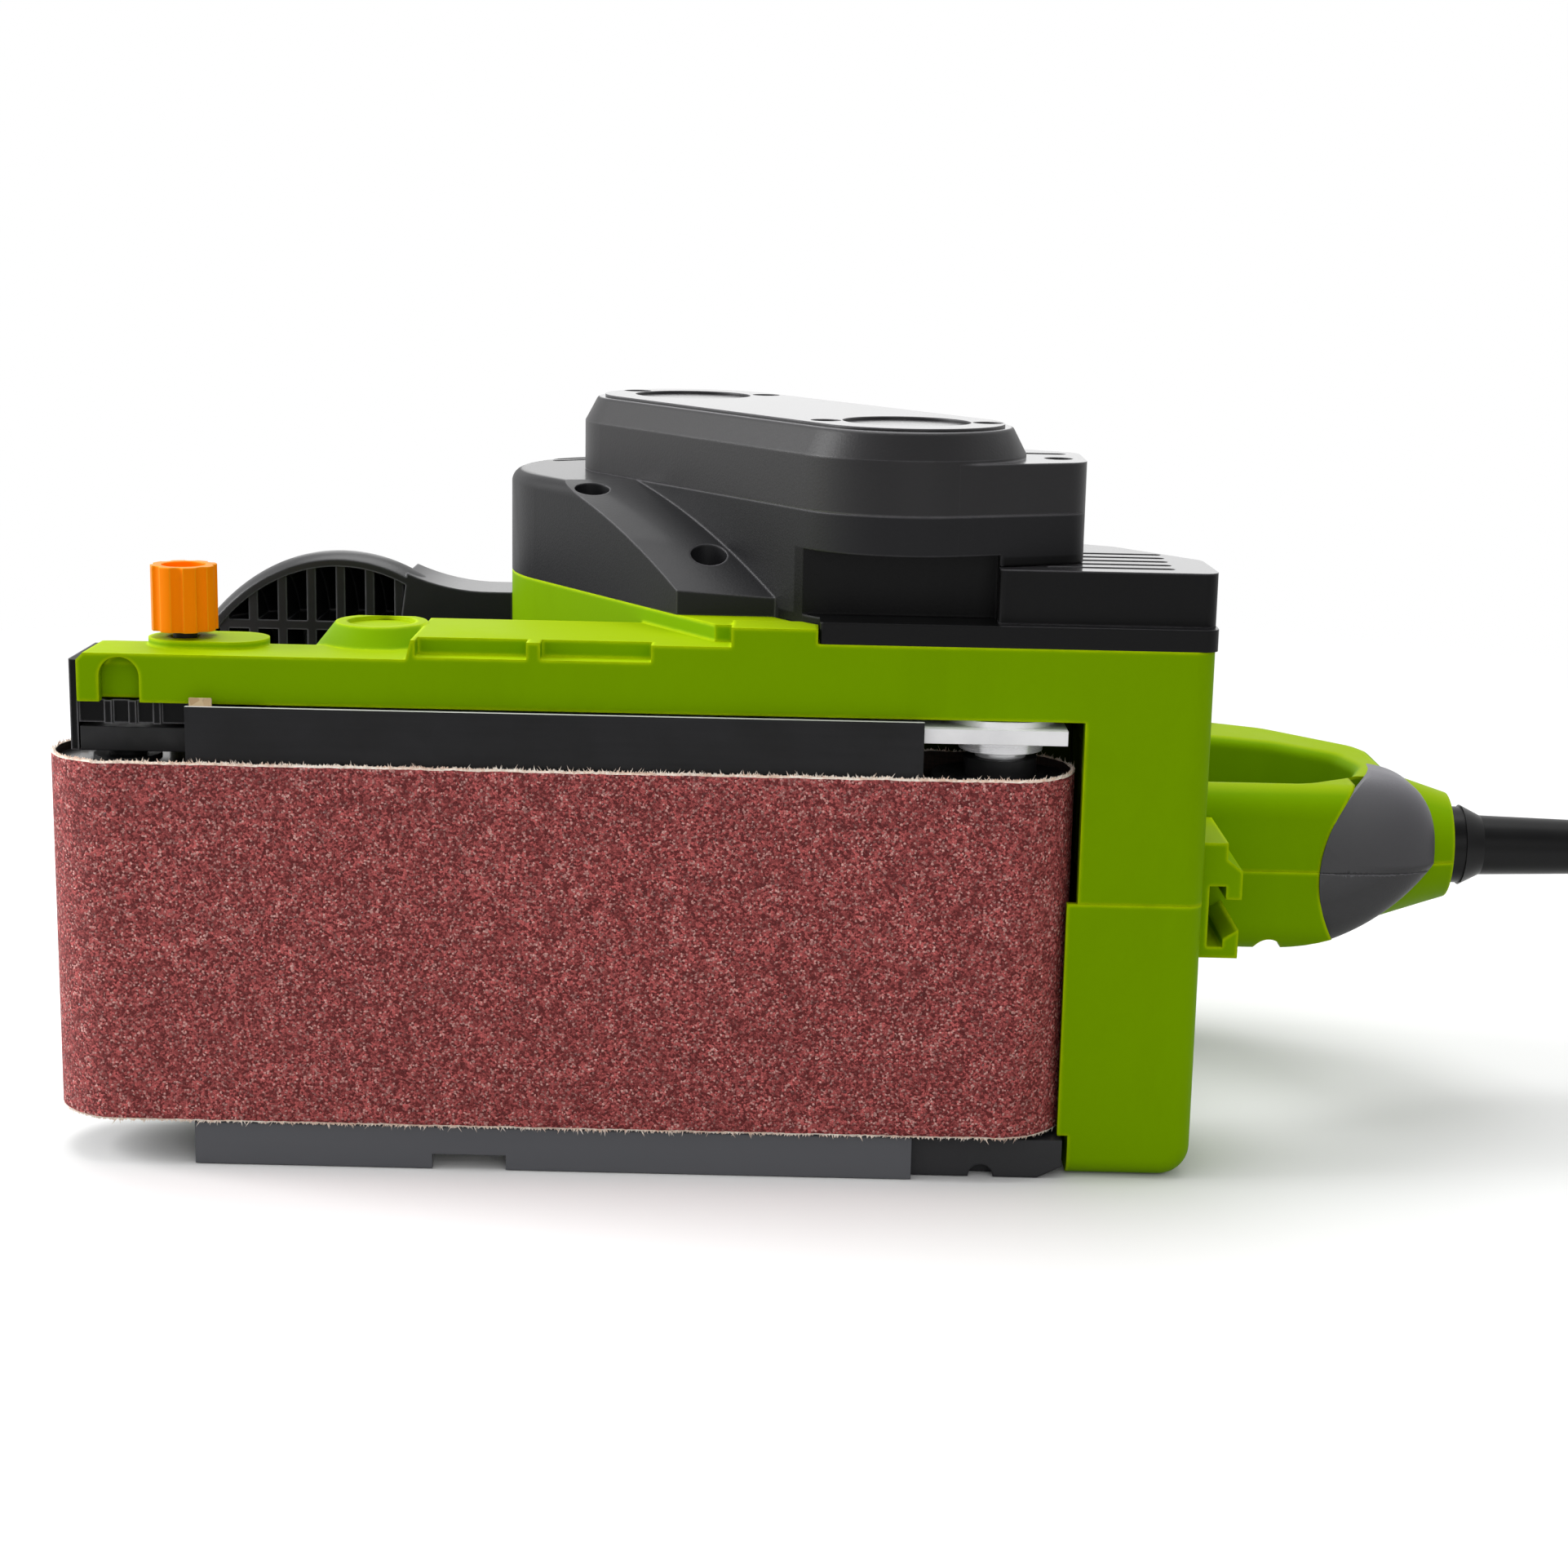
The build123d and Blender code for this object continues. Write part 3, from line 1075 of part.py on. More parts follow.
# Front grip: hollow pommel with ribs, on a pedestal from the deck
GRIP_S = 46.0
GRIP_Z = 59.0
GRIP_SECTIONS = [
    (95, 43.5, 56.5), (99, 45, 58), (108, 43, 55.5), (118, 35.5, 45.5), (125, 23, 30), (128, 9, 12)
]
GRIP_SKIN = 3.0
ARM_Z = (97.0, 108.6)
ARM_SWEEP = [(62, 112.6), (71, 109.7), (82, 108.6)]
ARM_THICK = 18.0
RIB_PITCH = 6.9
RIB_THICK = 2.2
with BuildPart() as grip_outer:
    for section_h, half_s, half_z in GRIP_SECTIONS:
        with BuildSketch(lower(section_h)):
            with Locations((GRIP_S, GRIP_Z)):
                Ellipse(half_s, half_z)
    loft()
with BuildPart() as grip_inner:
    for section_h, half_s, half_z in GRIP_SECTIONS:
        with BuildSketch(lower(section_h - GRIP_SKIN)):
            with Locations((GRIP_S, GRIP_Z)):
                Ellipse(half_s - GRIP_SKIN, half_z - GRIP_SKIN)
    loft()
with BuildPart() as grip_ribs:
    for k in range(9):
        rib_s = 18.4 + k * RIB_PITCH
        block((rib_s - RIB_THICK / 2, rib_s + RIB_THICK / 2), (97, 130), (0, 120))
    block((1, 91), (97, 130), (98.4, 98.4 + RIB_THICK))
    block((1, 91), (97, 130), (17.4, 17.4 + RIB_THICK))
    add(grip_outer.part, mode=Mode.INTERSECT)
with BuildPart() as front_grip:
    add(grip_outer.part)
    add(grip_inner.part, mode=Mode.SUBTRACT)
    add(grip_ribs.part)
    with BuildSketch(lower(DECK_TOP_H)):
        with Locations((72, 58)):
            RectangleRounded(28, 62, 8)
    extrude(amount=-(104 - DECK_TOP_H))
    with BuildSketch(lower(DECK_TOP_H + 3)):
        with Locations((72, 58)):
            RectangleRounded(22, 56, 5)
    extrude(amount=-(110 - DECK_TOP_H), mode=Mode.SUBTRACT)
    with BuildSketch(lower(GRIP_SECTIONS[0][0])):
        with BuildLine():
            Polyline(ARM_SWEEP[0], (60, ARM_Z[0]), (106, ARM_Z[0]), (106, ARM_Z[1]), ARM_SWEEP[2])
            ThreePointArc(ARM_SWEEP[2], ARM_SWEEP[1], ARM_SWEEP[0])
        make_face()
    extrude(amount=-ARM_THICK)
    with BuildSketch(side(-5)):
        add(barrel_outline.sketch_local)
    extrude(amount=130, mode=Mode.SUBTRACT)
front_grip.part.label = "front_grip"
export_step(front_grip.part, "parts/front_grip.step")

# Motor: stator with its coils, armature on its shaft, brushes and bearings
STATOR_R = 28.0
STATOR_Z = (30.0, 74.0)
STATOR_BORE = 17.2
with BuildPart() as stator:
    rod(MOTOR, STATOR_R, STATOR_Z)
    rod(MOTOR, STATOR_BORE, (29, 75), mode=Mode.SUBTRACT)
    with BuildSketch(oblique(STATOR_Z[0])):
        with PolarLocations(21, 2):
            Rectangle(6, 22)
    extrude(amount=STATOR_Z[1] - STATOR_Z[0], mode=Mode.SUBTRACT)
stator.part.label = "stator"
export_step(stator.part, "parts/stator.step")

with BuildPart() as field_coils:
    for coil_z in ((24.0, STATOR_Z[0]), (STATOR_Z[1], 79.0)):
        rod(MOTOR, 26.0, coil_z)
        rod(MOTOR, 18.6, coil_z, mode=Mode.SUBTRACT)
    with BuildSketch(oblique(STATOR_Z[0] - 1)):
        with PolarLocations(21, 2):
            Rectangle(4.4, 20)
    extrude(amount=STATOR_Z[1] - STATOR_Z[0] + 2)
field_coils.part.label = "field_coils"
export_step(field_coils.part, "parts/field_coils.step")

CORE_R = 16.5
CORE_Z = (32.0, 72.0)
PULLEY_Z = (139.5, 150.0)
with BuildPart() as armature_shaft:
    rod(MOTOR, ARM_R, (END_IN + 0.2, PULLEY_Z[0]))
    rod(MOTOR, ARM_TIP_R, (PULLEY_Z[0], 151))
armature_shaft.part.label = "armature_shaft"
export_step(armature_shaft.part, "parts/armature_shaft.step")

with BuildPart() as armature_core:
    rod(MOTOR, CORE_R, CORE_Z)
    with BuildSketch(oblique(CORE_Z[0])):
        with PolarLocations(CORE_R - 2, 12):
            Rectangle(5, 1.6)
    extrude(amount=CORE_Z[1] - CORE_Z[0], mode=Mode.SUBTRACT)
    rod(MOTOR, ARM_R + SLIP, (31, 73), mode=Mode.SUBTRACT)
armature_core.part.label = "armature_core"
export_step(armature_core.part, "parts/armature_core.step")

with BuildPart() as armature_windings:
    for end_z in ((25.0, CORE_Z[0]), (CORE_Z[1], 79.0)):
        rod(MOTOR, 14.6, end_z)
        rod(MOTOR, ARM_R + SLIP, end_z, mode=Mode.SUBTRACT)
armature_windings.part.label = "armature_windings"
export_step(armature_windings.part, "parts/armature_windings.step")

COMMUTATOR_R = 10.8
with BuildPart() as commutator:
    rod(MOTOR, COMMUTATOR_R, (12, 25))
    with BuildSketch(oblique(12)):
        with PolarLocations(COMMUTATOR_R, 18):
            Rectangle(1.6, 0.5)
    extrude(amount=10, mode=Mode.SUBTRACT)
    rod(MOTOR, ARM_R + SLIP, (11, 26), mode=Mode.SUBTRACT)
commutator.part.label = "commutator"
export_step(commutator.part, "parts/commutator.step")

with BuildPart() as fan:
    rod(MOTOR, 27.0, (80, 82))
    rod(MOTOR, 8.0, (79, 90))
    with BuildSketch(oblique(82)):
        with PolarLocations(17, 10):
            Rectangle(18.6, 1.6)
    extrude(amount=8)
    rod(MOTOR, ARM_R + SLIP, (78, 91), mode=Mode.SUBTRACT)
fan.part.label = "fan"
export_step(fan.part, "parts/fan.step")

with BuildPart() as motor_bearings:
    rod(MOTOR, BEARING_R, (END_IN, 10.6))
    rod(MOTOR, MOTOR_BEARING_R, (98, 104))
    rod(MOTOR, ARM_R + RUN, (0, 110), mode=Mode.SUBTRACT)
motor_bearings.part.label = "motor_bearings"
export_step(motor_bearings.part, "parts/motor_bearings.step")

HOLDER_B = (12.4, 27.0)
with BuildPart() as brush_holders:
    with BuildSketch(oblique(13)):
        with Locations((0, sum(HOLDER_B) / 2), (0, -sum(HOLDER_B) / 2)):
            Rectangle(11, HOLDER_B[1] - HOLDER_B[0])
    extrude(amount=10.4)
    with BuildSketch(oblique(15)):
        Rectangle(6.6, 2 * 25)
    extrude(amount=6.4, mode=Mode.SUBTRACT)
brush_holders.part.label = "brush_holders"
export_step(brush_holders.part, "parts/brush_holders.step")

with BuildPart() as carbon_brushes:
    with BuildSketch(oblique(15)):
        with Locations((0, 16.1), (0, -16.1)):
            Rectangle(6.4, 10)
        Circle(COMMUTATOR_R + 0.3, mode=Mode.SUBTRACT)
    extrude(amount=6.2)
carbon_brushes.part.label = "carbon_brushes"
export_step(carbon_brushes.part, "parts/carbon_brushes.step")

# Belt drive under the cover
with BuildPart() as motor_pulley:
    rod(MOTOR, MOTOR_PULLEY_R, PULLEY_Z)
    rod(MOTOR, MOTOR_PULLEY_R + 2, (PULLEY_Z[0], PULLEY_Z[0] + 0.8))
    rod(MOTOR, ARM_TIP_R + SLIP, (138, 152), mode=Mode.SUBTRACT)
motor_pulley.part.label = "motor_pulley"
export_step(motor_pulley.part, "parts/motor_pulley.step")

COUNTER_STEP = 139.5
with BuildPart() as countershaft:
    rod(COUNTER, SHAFT_R, (92.9, 99.6))
    rod(COUNTER, PINION_R, (99.6, 110))
    rod(COUNTER, SHAFT_R, (110, COUNTER_STEP))
    rod(COUNTER, SHAFT_END_R, (COUNTER_STEP, 150.6))
countershaft.part.label = "countershaft"
export_step(countershaft.part, "parts/countershaft.step")

with BuildPart() as driven_pulley:
    rod(COUNTER, DRIVEN_PULLEY_R, PULLEY_Z)
    with BuildSketch(side(PULLEY_Z[0])):
        with Locations(COUNTER):
            with PolarLocations(13, 6):
                Circle(3.4)
    extrude(amount=PULLEY_Z[1] - PULLEY_Z[0], mode=Mode.SUBTRACT)
    rod(COUNTER, SHAFT_END_R + SLIP, (138, 152), mode=Mode.SUBTRACT)
driven_pulley.part.label = "driven_pulley"
export_step(driven_pulley.part, "parts/driven_pulley.step")

with BuildPart() as counter_bearings:
    rod(COUNTER, BEARING_R, (SEAT_TOP - BEARING_WIDE, SEAT_TOP))
    rod(COUNTER, BEARING_R, (SEAT_LEDGE - BEARING_WIDE, SEAT_LEDGE))
    rod(COUNTER, SHAFT_R + RUN, (92, 130), mode=Mode.SUBTRACT)
counter_bearings.part.label = "counter_bearings"
export_step(counter_bearings.part, "parts/counter_bearings.step")

with BuildPart() as drive_belt:
    with BuildSketch(oblique(140.8)):
        Circle(MOTOR_PULLEY_R + DRIVE_BELT_GAP + DRIVE_BELT_THICK)
        with Locations((CENTRES, 0)):
            Circle(DRIVEN_PULLEY_R + DRIVE_BELT_GAP + DRIVE_BELT_THICK)
        make_hull()
    extrude(amount=8)
    with BuildSketch(oblique(140.8)):
        Circle(MOTOR_PULLEY_R + DRIVE_BELT_GAP)
        with Locations((CENTRES, 0)):
            Circle(DRIVEN_PULLEY_R + DRIVE_BELT_GAP)
        make_hull()
    extrude(amount=8, mode=Mode.SUBTRACT)
drive_belt.part.label = "drive_belt"
export_step(drive_belt.part, "parts/drive_belt.step")

with BuildPart() as final_belt:
    with BuildSketch(side(101)):
        with Locations(COUNTER):
            Circle(PINION_R + DRIVE_BELT_GAP + FINAL_BELT_THICK)
        with Locations(DRIVE):
            Circle(ROLLER_PULLEY_R + DRIVE_BELT_GAP + FINAL_BELT_THICK)
        make_hull()
    extrude(amount=8)
    with BuildSketch(side(101)):
        with Locations(COUNTER):
            Circle(PINION_R + DRIVE_BELT_GAP)
        with Locations(DRIVE):
            Circle(ROLLER_PULLEY_R + DRIVE_BELT_GAP)
        make_hull()
    extrude(amount=8, mode=Mode.SUBTRACT)
final_belt.part.label = "final_belt"
export_step(final_belt.part, "parts/final_belt.step")

# Switch, trigger and lock button in the handle
TRIGGER_TRAVEL = 4.5
TRIGGER_FLANGE = 2.4
SWITCH_H = TRIGGER_WALL_H + GAP + TRIGGER_FLANGE + TRIGGER_TRAVEL + 0.4
with BuildPart() as switch_body:
    block((200, 236), (SWITCH_H, 127), SWITCH_Z)
switch_body.part.label = "switch_body"
export_step(switch_body.part, "parts/switch_body.step")

with BuildPart() as trigger:
    with BuildSketch(side(TRIGGER_Z[0] + GAP)):
        with BuildLine():
            FilletPolyline(
                (TRIGGER_S[0] + GAP, TRIGGER_WALL_H + GAP),
                (TRIGGER_S[0] + GAP, TRIGGER_WALL_H - 8),
                (TRIGGER_S[0] + 6, TRIGGER_WALL_H - 11.5),
                (TRIGGER_S[1] - 4, TRIGGER_WALL_H - 12.5),
                (TRIGGER_S[1] - GAP, TRIGGER_WALL_H - 10),
                (TRIGGER_S[1] - GAP, TRIGGER_WALL_H + GAP),
                radius=[0.3, 3, 3, 3, 1.5, 0.3],
                close=True,
            )
        make_face()
    extrude(amount=TRIGGER_Z[1] - TRIGGER_Z[0] - 2 * GAP)
    block(
        (TRIGGER_S[0] - 3, TRIGGER_S[1] + 1),
        (TRIGGER_WALL_H + GAP, TRIGGER_WALL_H + GAP + TRIGGER_FLANGE),
        (TRIGGER_Z[0] - 2.5, TRIGGER_Z[1] + 2.5),
    )
trigger.part.label = "trigger"
export_step(trigger.part, "parts/trigger.step")

with BuildPart() as lock_button:
    rod(LOCK, LOCK_R, (72, 80.2))
    rod(LOCK, 6.9, (72, 74.2))
    chamfer(faces().sort_by(Axis.Z)[-1].edges(), 0.8)
lock_button.part.label = "lock_button"
export_step(lock_button.part, "parts/lock_button.step")

# Dust port rail behind the post
with BuildPart() as dust_rail:
    with BuildSketch(lower(12)):
        with BuildLine():
            Polyline(
                (POST_S[1], 46.4), (247.7, 46.4), (247.7, 52.5), (244.5, 50.5), (244.5, 48.7),
                (241.2, 48.7),
                (241.2, 61.8), (244.7, 61.8), (244.7, 59), (248, 59), (248, 65), (244.7, 67.5),
                (244.7, 71), (POST_S[1], 71), close=True,
            )
        make_face()
    extrude(amount=-25.2)
    block((POST_S[1] - 1, POST_S[1] + 3), (15, 30), (50.5, 60.5), mode=Mode.SUBTRACT)
dust_rail.part.label = "dust_rail"
export_step(dust_rail.part, "parts/dust_rail.step")

# Strain relief and cord
CORD_D = 2 * CORD_R
with BuildPart() as strain_relief:
    spindle((294.4, BOSS_S), CORD_H, CORD_Z, SLEEVE_R)
    spindle((BOSS_S, 304.5), CORD_H, CORD_Z, 8.6)
    with BuildSketch(across(304.5)):
        with Locations((CORD_H, CORD_Z)):
            Circle(9.0)
    with BuildSketch(across(309)):
        with Locations((CORD_H, CORD_Z)):
            Circle(SLEEVE_R + 0.2)
    loft()
    with BuildSketch(across(309)):
        with Locations((CORD_H, CORD_Z)):
            Circle(SLEEVE_R + 0.2)
    with BuildSketch(across(REACH)):
        with Locations((CORD_H, CORD_Z)):
            Circle(SLEEVE_R - 1.2)
    loft()
strain_relief.part.label = "strain_relief"
export_step(strain_relief.part, "parts/strain_relief.step")

COIL_S = 500.0
COIL_R = 52.0
COIL_Z = 0.85 + CORD_R
COIL_PITCH = CORD_D + 0.6
COIL_TURNS = 3
COIL_H = CORD_H + COIL_R
ROUTE = [
    Vector(NOSE_X + REACH, FACE_Y + CORD_H, CORD_Z),
    Vector(NOSE_X + 384, FACE_Y + CORD_H, CORD_Z),
    Vector(NOSE_X + 408, FACE_Y + CORD_H, 47),
    Vector(NOSE_X + 428, FACE_Y + CORD_H, 25),
    Vector(NOSE_X + 450, FACE_Y + CORD_H, 10),
    Vector(NOSE_X + 476, FACE_Y + CORD_H, COIL_Z),
    Vector(NOSE_X + COIL_S, FACE_Y + CORD_H, COIL_Z),
]
route_radii = []
for before, at, after in zip(ROUTE, ROUTE[1:], ROUTE[2:]):
    turn = math.radians((at - before).get_angle(after - at))
    shorter = min((at - before).length, (after - at).length)
    route_radii.append(0.45 * shorter / math.tan(turn / 2))
print("cord radii mm:", [round(r, 1) for r in route_radii])
with BuildPart() as cord:
    with BuildLine() as cord_line:
        FilletPolyline(*ROUTE, radius=route_radii)
    with BuildSketch(Plane(origin=ROUTE[0], z_dir=(1, 0, 0))):
        Circle(CORD_R)
    sweep()
cord.part.label = "cord"
export_step(cord.part, "parts/cord.step")
cord_length = cord_line.wire().length
cord_share = cord.part.volume / (math.pi * CORD_R**2 * cord_length)
print("cord stretch mm:", round(cord_length, 1), "volume ratio:", round(cord_share, 4))

# Coil of the put-away length: three turns in, a climbing half turn, three turns out
step = COIL_PITCH / 2
half_turns = 4 * COIL_TURNS + 1
coil_radii = [COIL_R - step * min(k, half_turns - 1 - k) for k in range(half_turns)]
COIL_X = NOSE_X + COIL_S
COIL_Y = FACE_Y + COIL_H
TAIL = 34.0
coil_points = [Vector(COIL_X, COIL_Y - COIL_R, COIL_Z)]
with BuildPart() as cord_coil:
    with BuildLine() as coil_line:
        here = coil_points[0]
        level = COIL_Z
        for k, r in enumerate(coil_radii):
            way = 1 if k % 2 == 0 else -1
            centre_y = here.Y + way * r
            climb = COIL_PITCH if k == 2 * COIL_TURNS else 0
            quarter = math.hypot(r, climb / 2)
            middle = Vector(here.X + way * quarter, centre_y, level + climb / 2)
            there = Vector(here.X, here.Y + 2 * way * r, level + climb)
            turn_in = Vector(way, 0, 0)
            turn_mid = Vector(0, way * r, climb / 2)
            TangentArc(here, middle, tangent=turn_in)
            TangentArc(middle, there, tangent=turn_mid)
            coil_points += [middle, there]
            here = there
            level += climb
        Line(here, here - Vector(TAIL, 0, 0))
    with BuildSketch(Plane(origin=coil_points[0], z_dir=(1, 0, 0))):
        Circle(CORD_R)
    sweep()
cord_coil.part.label = "cord_coil"
export_step(cord_coil.part, "parts/cord_coil.step")
coil_wire = coil_line.wire()
coil_length = coil_wire.length
samples = [coil_wire.position_at(i / 1500) for i in range(1501)]
apart = int(1500 * 6 * CORD_R / coil_length) + 1
least = min(
    (samples[i] - samples[j]).length for i in range(0, 1501, 2) for j in range(i + apart, 1501)
)
coil_share = cord_coil.part.volume / (math.pi * CORD_R**2 * coil_length)
print("coil length mm:", round(coil_length, 1), "volume ratio:", round(coil_share, 4))
print("coil least gap mm:", round(least - CORD_D, 2))

# Tie round the coil, plug and its pins
TIE_THICK = 0.6
with BuildPart() as cord_tie:
    block(
        (COIL_S + 22.4, COIL_S + 57.2), (COIL_H - 4, COIL_H + 4), (0.1, COIL_Z + COIL_PITCH + CORD_R + 0.8)
    )
    block(
        (COIL_S + 22.4 + TIE_THICK, COIL_S + 57.2 - TIE_THICK),
        (COIL_H - 5, COIL_H + 5),
        (0.1 + TIE_THICK, COIL_Z + COIL_PITCH + CORD_R + 0.8 - TIE_THICK),
        mode=Mode.SUBTRACT,
    )
cord_tie.part.label = "cord_tie"
export_step(cord_tie.part, "parts/cord_tie.step")

PLUG_Z = COIL_Z + COIL_PITCH
PLUG_H = COIL_H + COIL_R
PLUG_S = (COIL_S - TAIL - 50, COIL_S - TAIL)
with BuildPart() as plug:
    with BuildSketch(across(PLUG_S[0])):
        with Locations((PLUG_H, PLUG_Z)):
            RectangleRounded(27, 2 * (PLUG_Z - 0.2), 8)
    with BuildSketch(across(PLUG_S[0] + 36)):
        with Locations((PLUG_H, PLUG_Z)):
            RectangleRounded(25, 2 * (PLUG_Z - 0.2), 8)
    loft()
    spindle((PLUG_S[0] + 36, PLUG_S[1]), PLUG_H, PLUG_Z, 6.0)
plug.part.label = "plug"
export_step(plug.part, "parts/plug.step")

with BuildPart() as plug_pins:
    for pin in (-9.5, 9.5):
        spindle((PLUG_S[0] - 19, PLUG_S[0]), PLUG_H + pin, PLUG_Z, 2.4)
plug_pins.part.label = "plug_pins"
export_step(plug_pins.part, "parts/plug_pins.step")
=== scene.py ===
"""Looks of a corded belt sander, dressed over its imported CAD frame."""

import math
import random

import bmesh
import bpy
from mathutils import Matrix, Vector, noise


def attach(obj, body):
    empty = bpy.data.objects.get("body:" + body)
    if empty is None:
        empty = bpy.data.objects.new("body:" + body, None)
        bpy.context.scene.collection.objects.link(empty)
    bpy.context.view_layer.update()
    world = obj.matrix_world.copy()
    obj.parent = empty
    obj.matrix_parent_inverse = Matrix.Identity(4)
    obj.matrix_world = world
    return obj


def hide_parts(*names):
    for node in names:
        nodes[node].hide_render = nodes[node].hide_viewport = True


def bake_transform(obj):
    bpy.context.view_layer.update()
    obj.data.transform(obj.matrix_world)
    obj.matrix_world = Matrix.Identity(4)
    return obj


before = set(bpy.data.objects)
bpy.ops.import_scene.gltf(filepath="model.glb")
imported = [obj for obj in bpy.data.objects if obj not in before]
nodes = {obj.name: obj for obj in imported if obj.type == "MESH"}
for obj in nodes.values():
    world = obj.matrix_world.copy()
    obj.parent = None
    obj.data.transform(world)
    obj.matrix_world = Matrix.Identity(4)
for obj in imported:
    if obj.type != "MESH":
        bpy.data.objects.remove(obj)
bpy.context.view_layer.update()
scene = bpy.context.scene

# The CAD's own measures, in millimetres: s from the belt's nose, h from the sanding face
# and z from the floor
MM = 0.001
NOSE_S = 180.0
FACE_H = 71.0


def spot(s, h, z):
    """A point given in the CAD's own measures, in metres in the shared frame."""
    return Vector((s - NOSE_S, h - FACE_H, z)) * MM


# Camera of the photograph
LENS_PIXELS = 3300.0
PHOTO_PIXELS = 1922.0
SENSOR_WIDTH = 36.0
CLIP_RANGE = (0.01, 60.0)
CAMERA_AT = Vector((-24.0, -603.8, 196.446)) * MM
PITCH, YAW, ROLL = 0.20786, 0.00702, 0.02072


def photo_camera():
    """The fitted camera: it looks down on the sanding face with a slight roll."""
    forward = Vector((
        -math.sin(YAW) * math.cos(PITCH), math.cos(YAW) * math.cos(PITCH), -math.sin(PITCH),
    ))
    right = Vector((math.cos(YAW), math.sin(YAW), 0))
    down = forward.cross(right)
    turned_right = math.cos(ROLL) * right - math.sin(ROLL) * down
    turned_down = math.sin(ROLL) * right + math.cos(ROLL) * down
    lens = bpy.data.cameras.new("photo_camera")
    lens.sensor_width = SENSOR_WIDTH
    lens.lens = LENS_PIXELS / PHOTO_PIXELS * SENSOR_WIDTH
    lens.clip_start, lens.clip_end = CLIP_RANGE
    camera = bpy.data.objects.new("photo_camera", lens)
    turn = Matrix((turned_right, -turned_down, -forward)).transposed().to_4x4()
    camera.matrix_world = Matrix.Translation(CAMERA_AT) @ turn
    scene.collection.objects.link(camera)
    scene.camera = camera


photo_camera()


# Node trees
class Web:
    """One node tree: adds nodes, and sets or links their inputs."""

    def __init__(self, tree):
        self.tree = tree

    def put(self, socket, value):
        """Links an output to the input, or sets the input to a constant."""
        if isinstance(value, bpy.types.NodeSocket):
            self.tree.links.new(value, socket)
        else:
            socket.default_value = value

    def add(self, kind, inputs=None, **settings):
        """A new node with its settings and inputs."""
        node = self.tree.nodes.new("ShaderNode" + kind)
        for key, value in settings.items():
            setattr(node, key, value)
        for key, value in (inputs or {}).items():
            self.put(node.inputs[key], value)
        return node

    def use(self, group, inputs=None):
        """The outputs of a shared group."""
        return self.add("Group", inputs, node_tree=group).outputs

    def place(self):
        """Coordinates in metres in the shared frame, which ride with the piece."""
        return self.add("TexCoord").outputs["Object"]

    def stretch(self, vector, scale):
        """Coordinates with a scale for each axis."""
        return self.add("Mapping", {"Vector": vector, "Scale": scale}).outputs[0]

    def noise(self, vector, scale, detail=3.0, rough=0.55, warp=0.0):
        """A cloud of values round 0.5."""
        return self.add("TexNoise", {
            "Vector": vector, "Scale": scale, "Detail": detail, "Roughness": rough,
            "Distortion": warp,
        }).outputs[0]

    def cells(self, vector, scale, feature="F1"):
        """Packed cells, with the distance inside each and its own colour."""
        inputs = {"Vector": vector, "Scale": scale}
        return self.add("TexVoronoi", inputs, feature=feature).outputs

    def calc(self, how, a, b, clamp=False):
        """The result of one sum on two values."""
        return self.add("Math", {0: a, 1: b}, operation=how, use_clamp=clamp).outputs[0]

    def vectors(self, how, a, b):
        """The outputs of one sum on two vectors."""
        return self.add("VectorMath", {0: a, 1: b}, operation=how).outputs

    def axes(self, vector):
        """X, Y and Z of a vector."""
        return self.add("SeparateXYZ", {0: vector}).outputs

    def channels(self, colour):
        """Red, green and blue of a colour."""
        return self.add("SeparateColor", {"Color": colour}).outputs

    def span(self, value, low, high, to_low=0.0, to_high=1.0):
        """A value carried from one range to another, and held inside it."""
        return self.add("MapRange", {
            "Value": value, "From Min": low, "From Max": high, "To Min": to_low, "To Max": to_high,
        }).outputs[0]

    def blend(self, factor, a, b):
        """Colour a where the factor is 0, and colour b where it is 1."""
        return self.add("Mix", {0: factor, 6: a, 7: b}, data_type="RGBA").outputs[2]


SOCKETS = {
    "value": "NodeSocketFloat", "colour": "NodeSocketColor", "vector": "NodeSocketVector",
}


class Group(Web):
    """A shader group with named sockets."""

    def __init__(self, name, inputs, outputs):
        super().__init__(bpy.data.node_groups.new(name, "ShaderNodeTree"))
        for label, kind, default in inputs:
            self.socket(label, "INPUT", kind).default_value = default
        for label, kind in outputs:
            self.socket(label, "OUTPUT", kind)
        self.given = self.tree.nodes.new("NodeGroupInput").outputs
        self.end = self.tree.nodes.new("NodeGroupOutput").inputs

    def socket(self, label, way, kind):
        """A new input or output socket of the group."""
        return self.tree.interface.new_socket(
            name=label, in_out=way, socket_type=SOCKETS[kind]
        )

    def give(self, results):
        """Links the results to the group's outputs, and returns the finished tree."""
        for label, value in results.items():
            self.put(self.end[label], value)
        return self.tree


def rgb(red, green, blue):
    """A colour picked as 0 to 255 on a screen, as the shader's linear values."""
    def linear(v):
        v /= 255.0
        return v / 12.92 if v <= 0.04045 else ((v + 0.055) / 1.055) ** 2.4
    return (linear(red), linear(green), linear(blue), 1.0)


def grey(level):
    """A grey in the shader's linear values."""
    return (level, level, level, 1.0)


# Shared effects. Scales are features a metre.
PEBBLE_SCALE = 1800.0
MOTTLE_SCALE = 55.0
SMEAR_SCALE = 18.0
SMEAR_STRETCH = (1.0, 1.0, 0.35)
EDGE_BREAK_SCALE = 260.0
BEVEL_SAMPLES = 6
GRIT_SCALE = 2300.0
GRIT_CLOUD_SCALE = 330.0
METAL_CLOUD_SCALE = 70.0
RESIN = rgb(110, 35, 36)
GRAIN = rgb(226, 112, 110)
PALE_GRAIN = rgb(250, 188, 180)


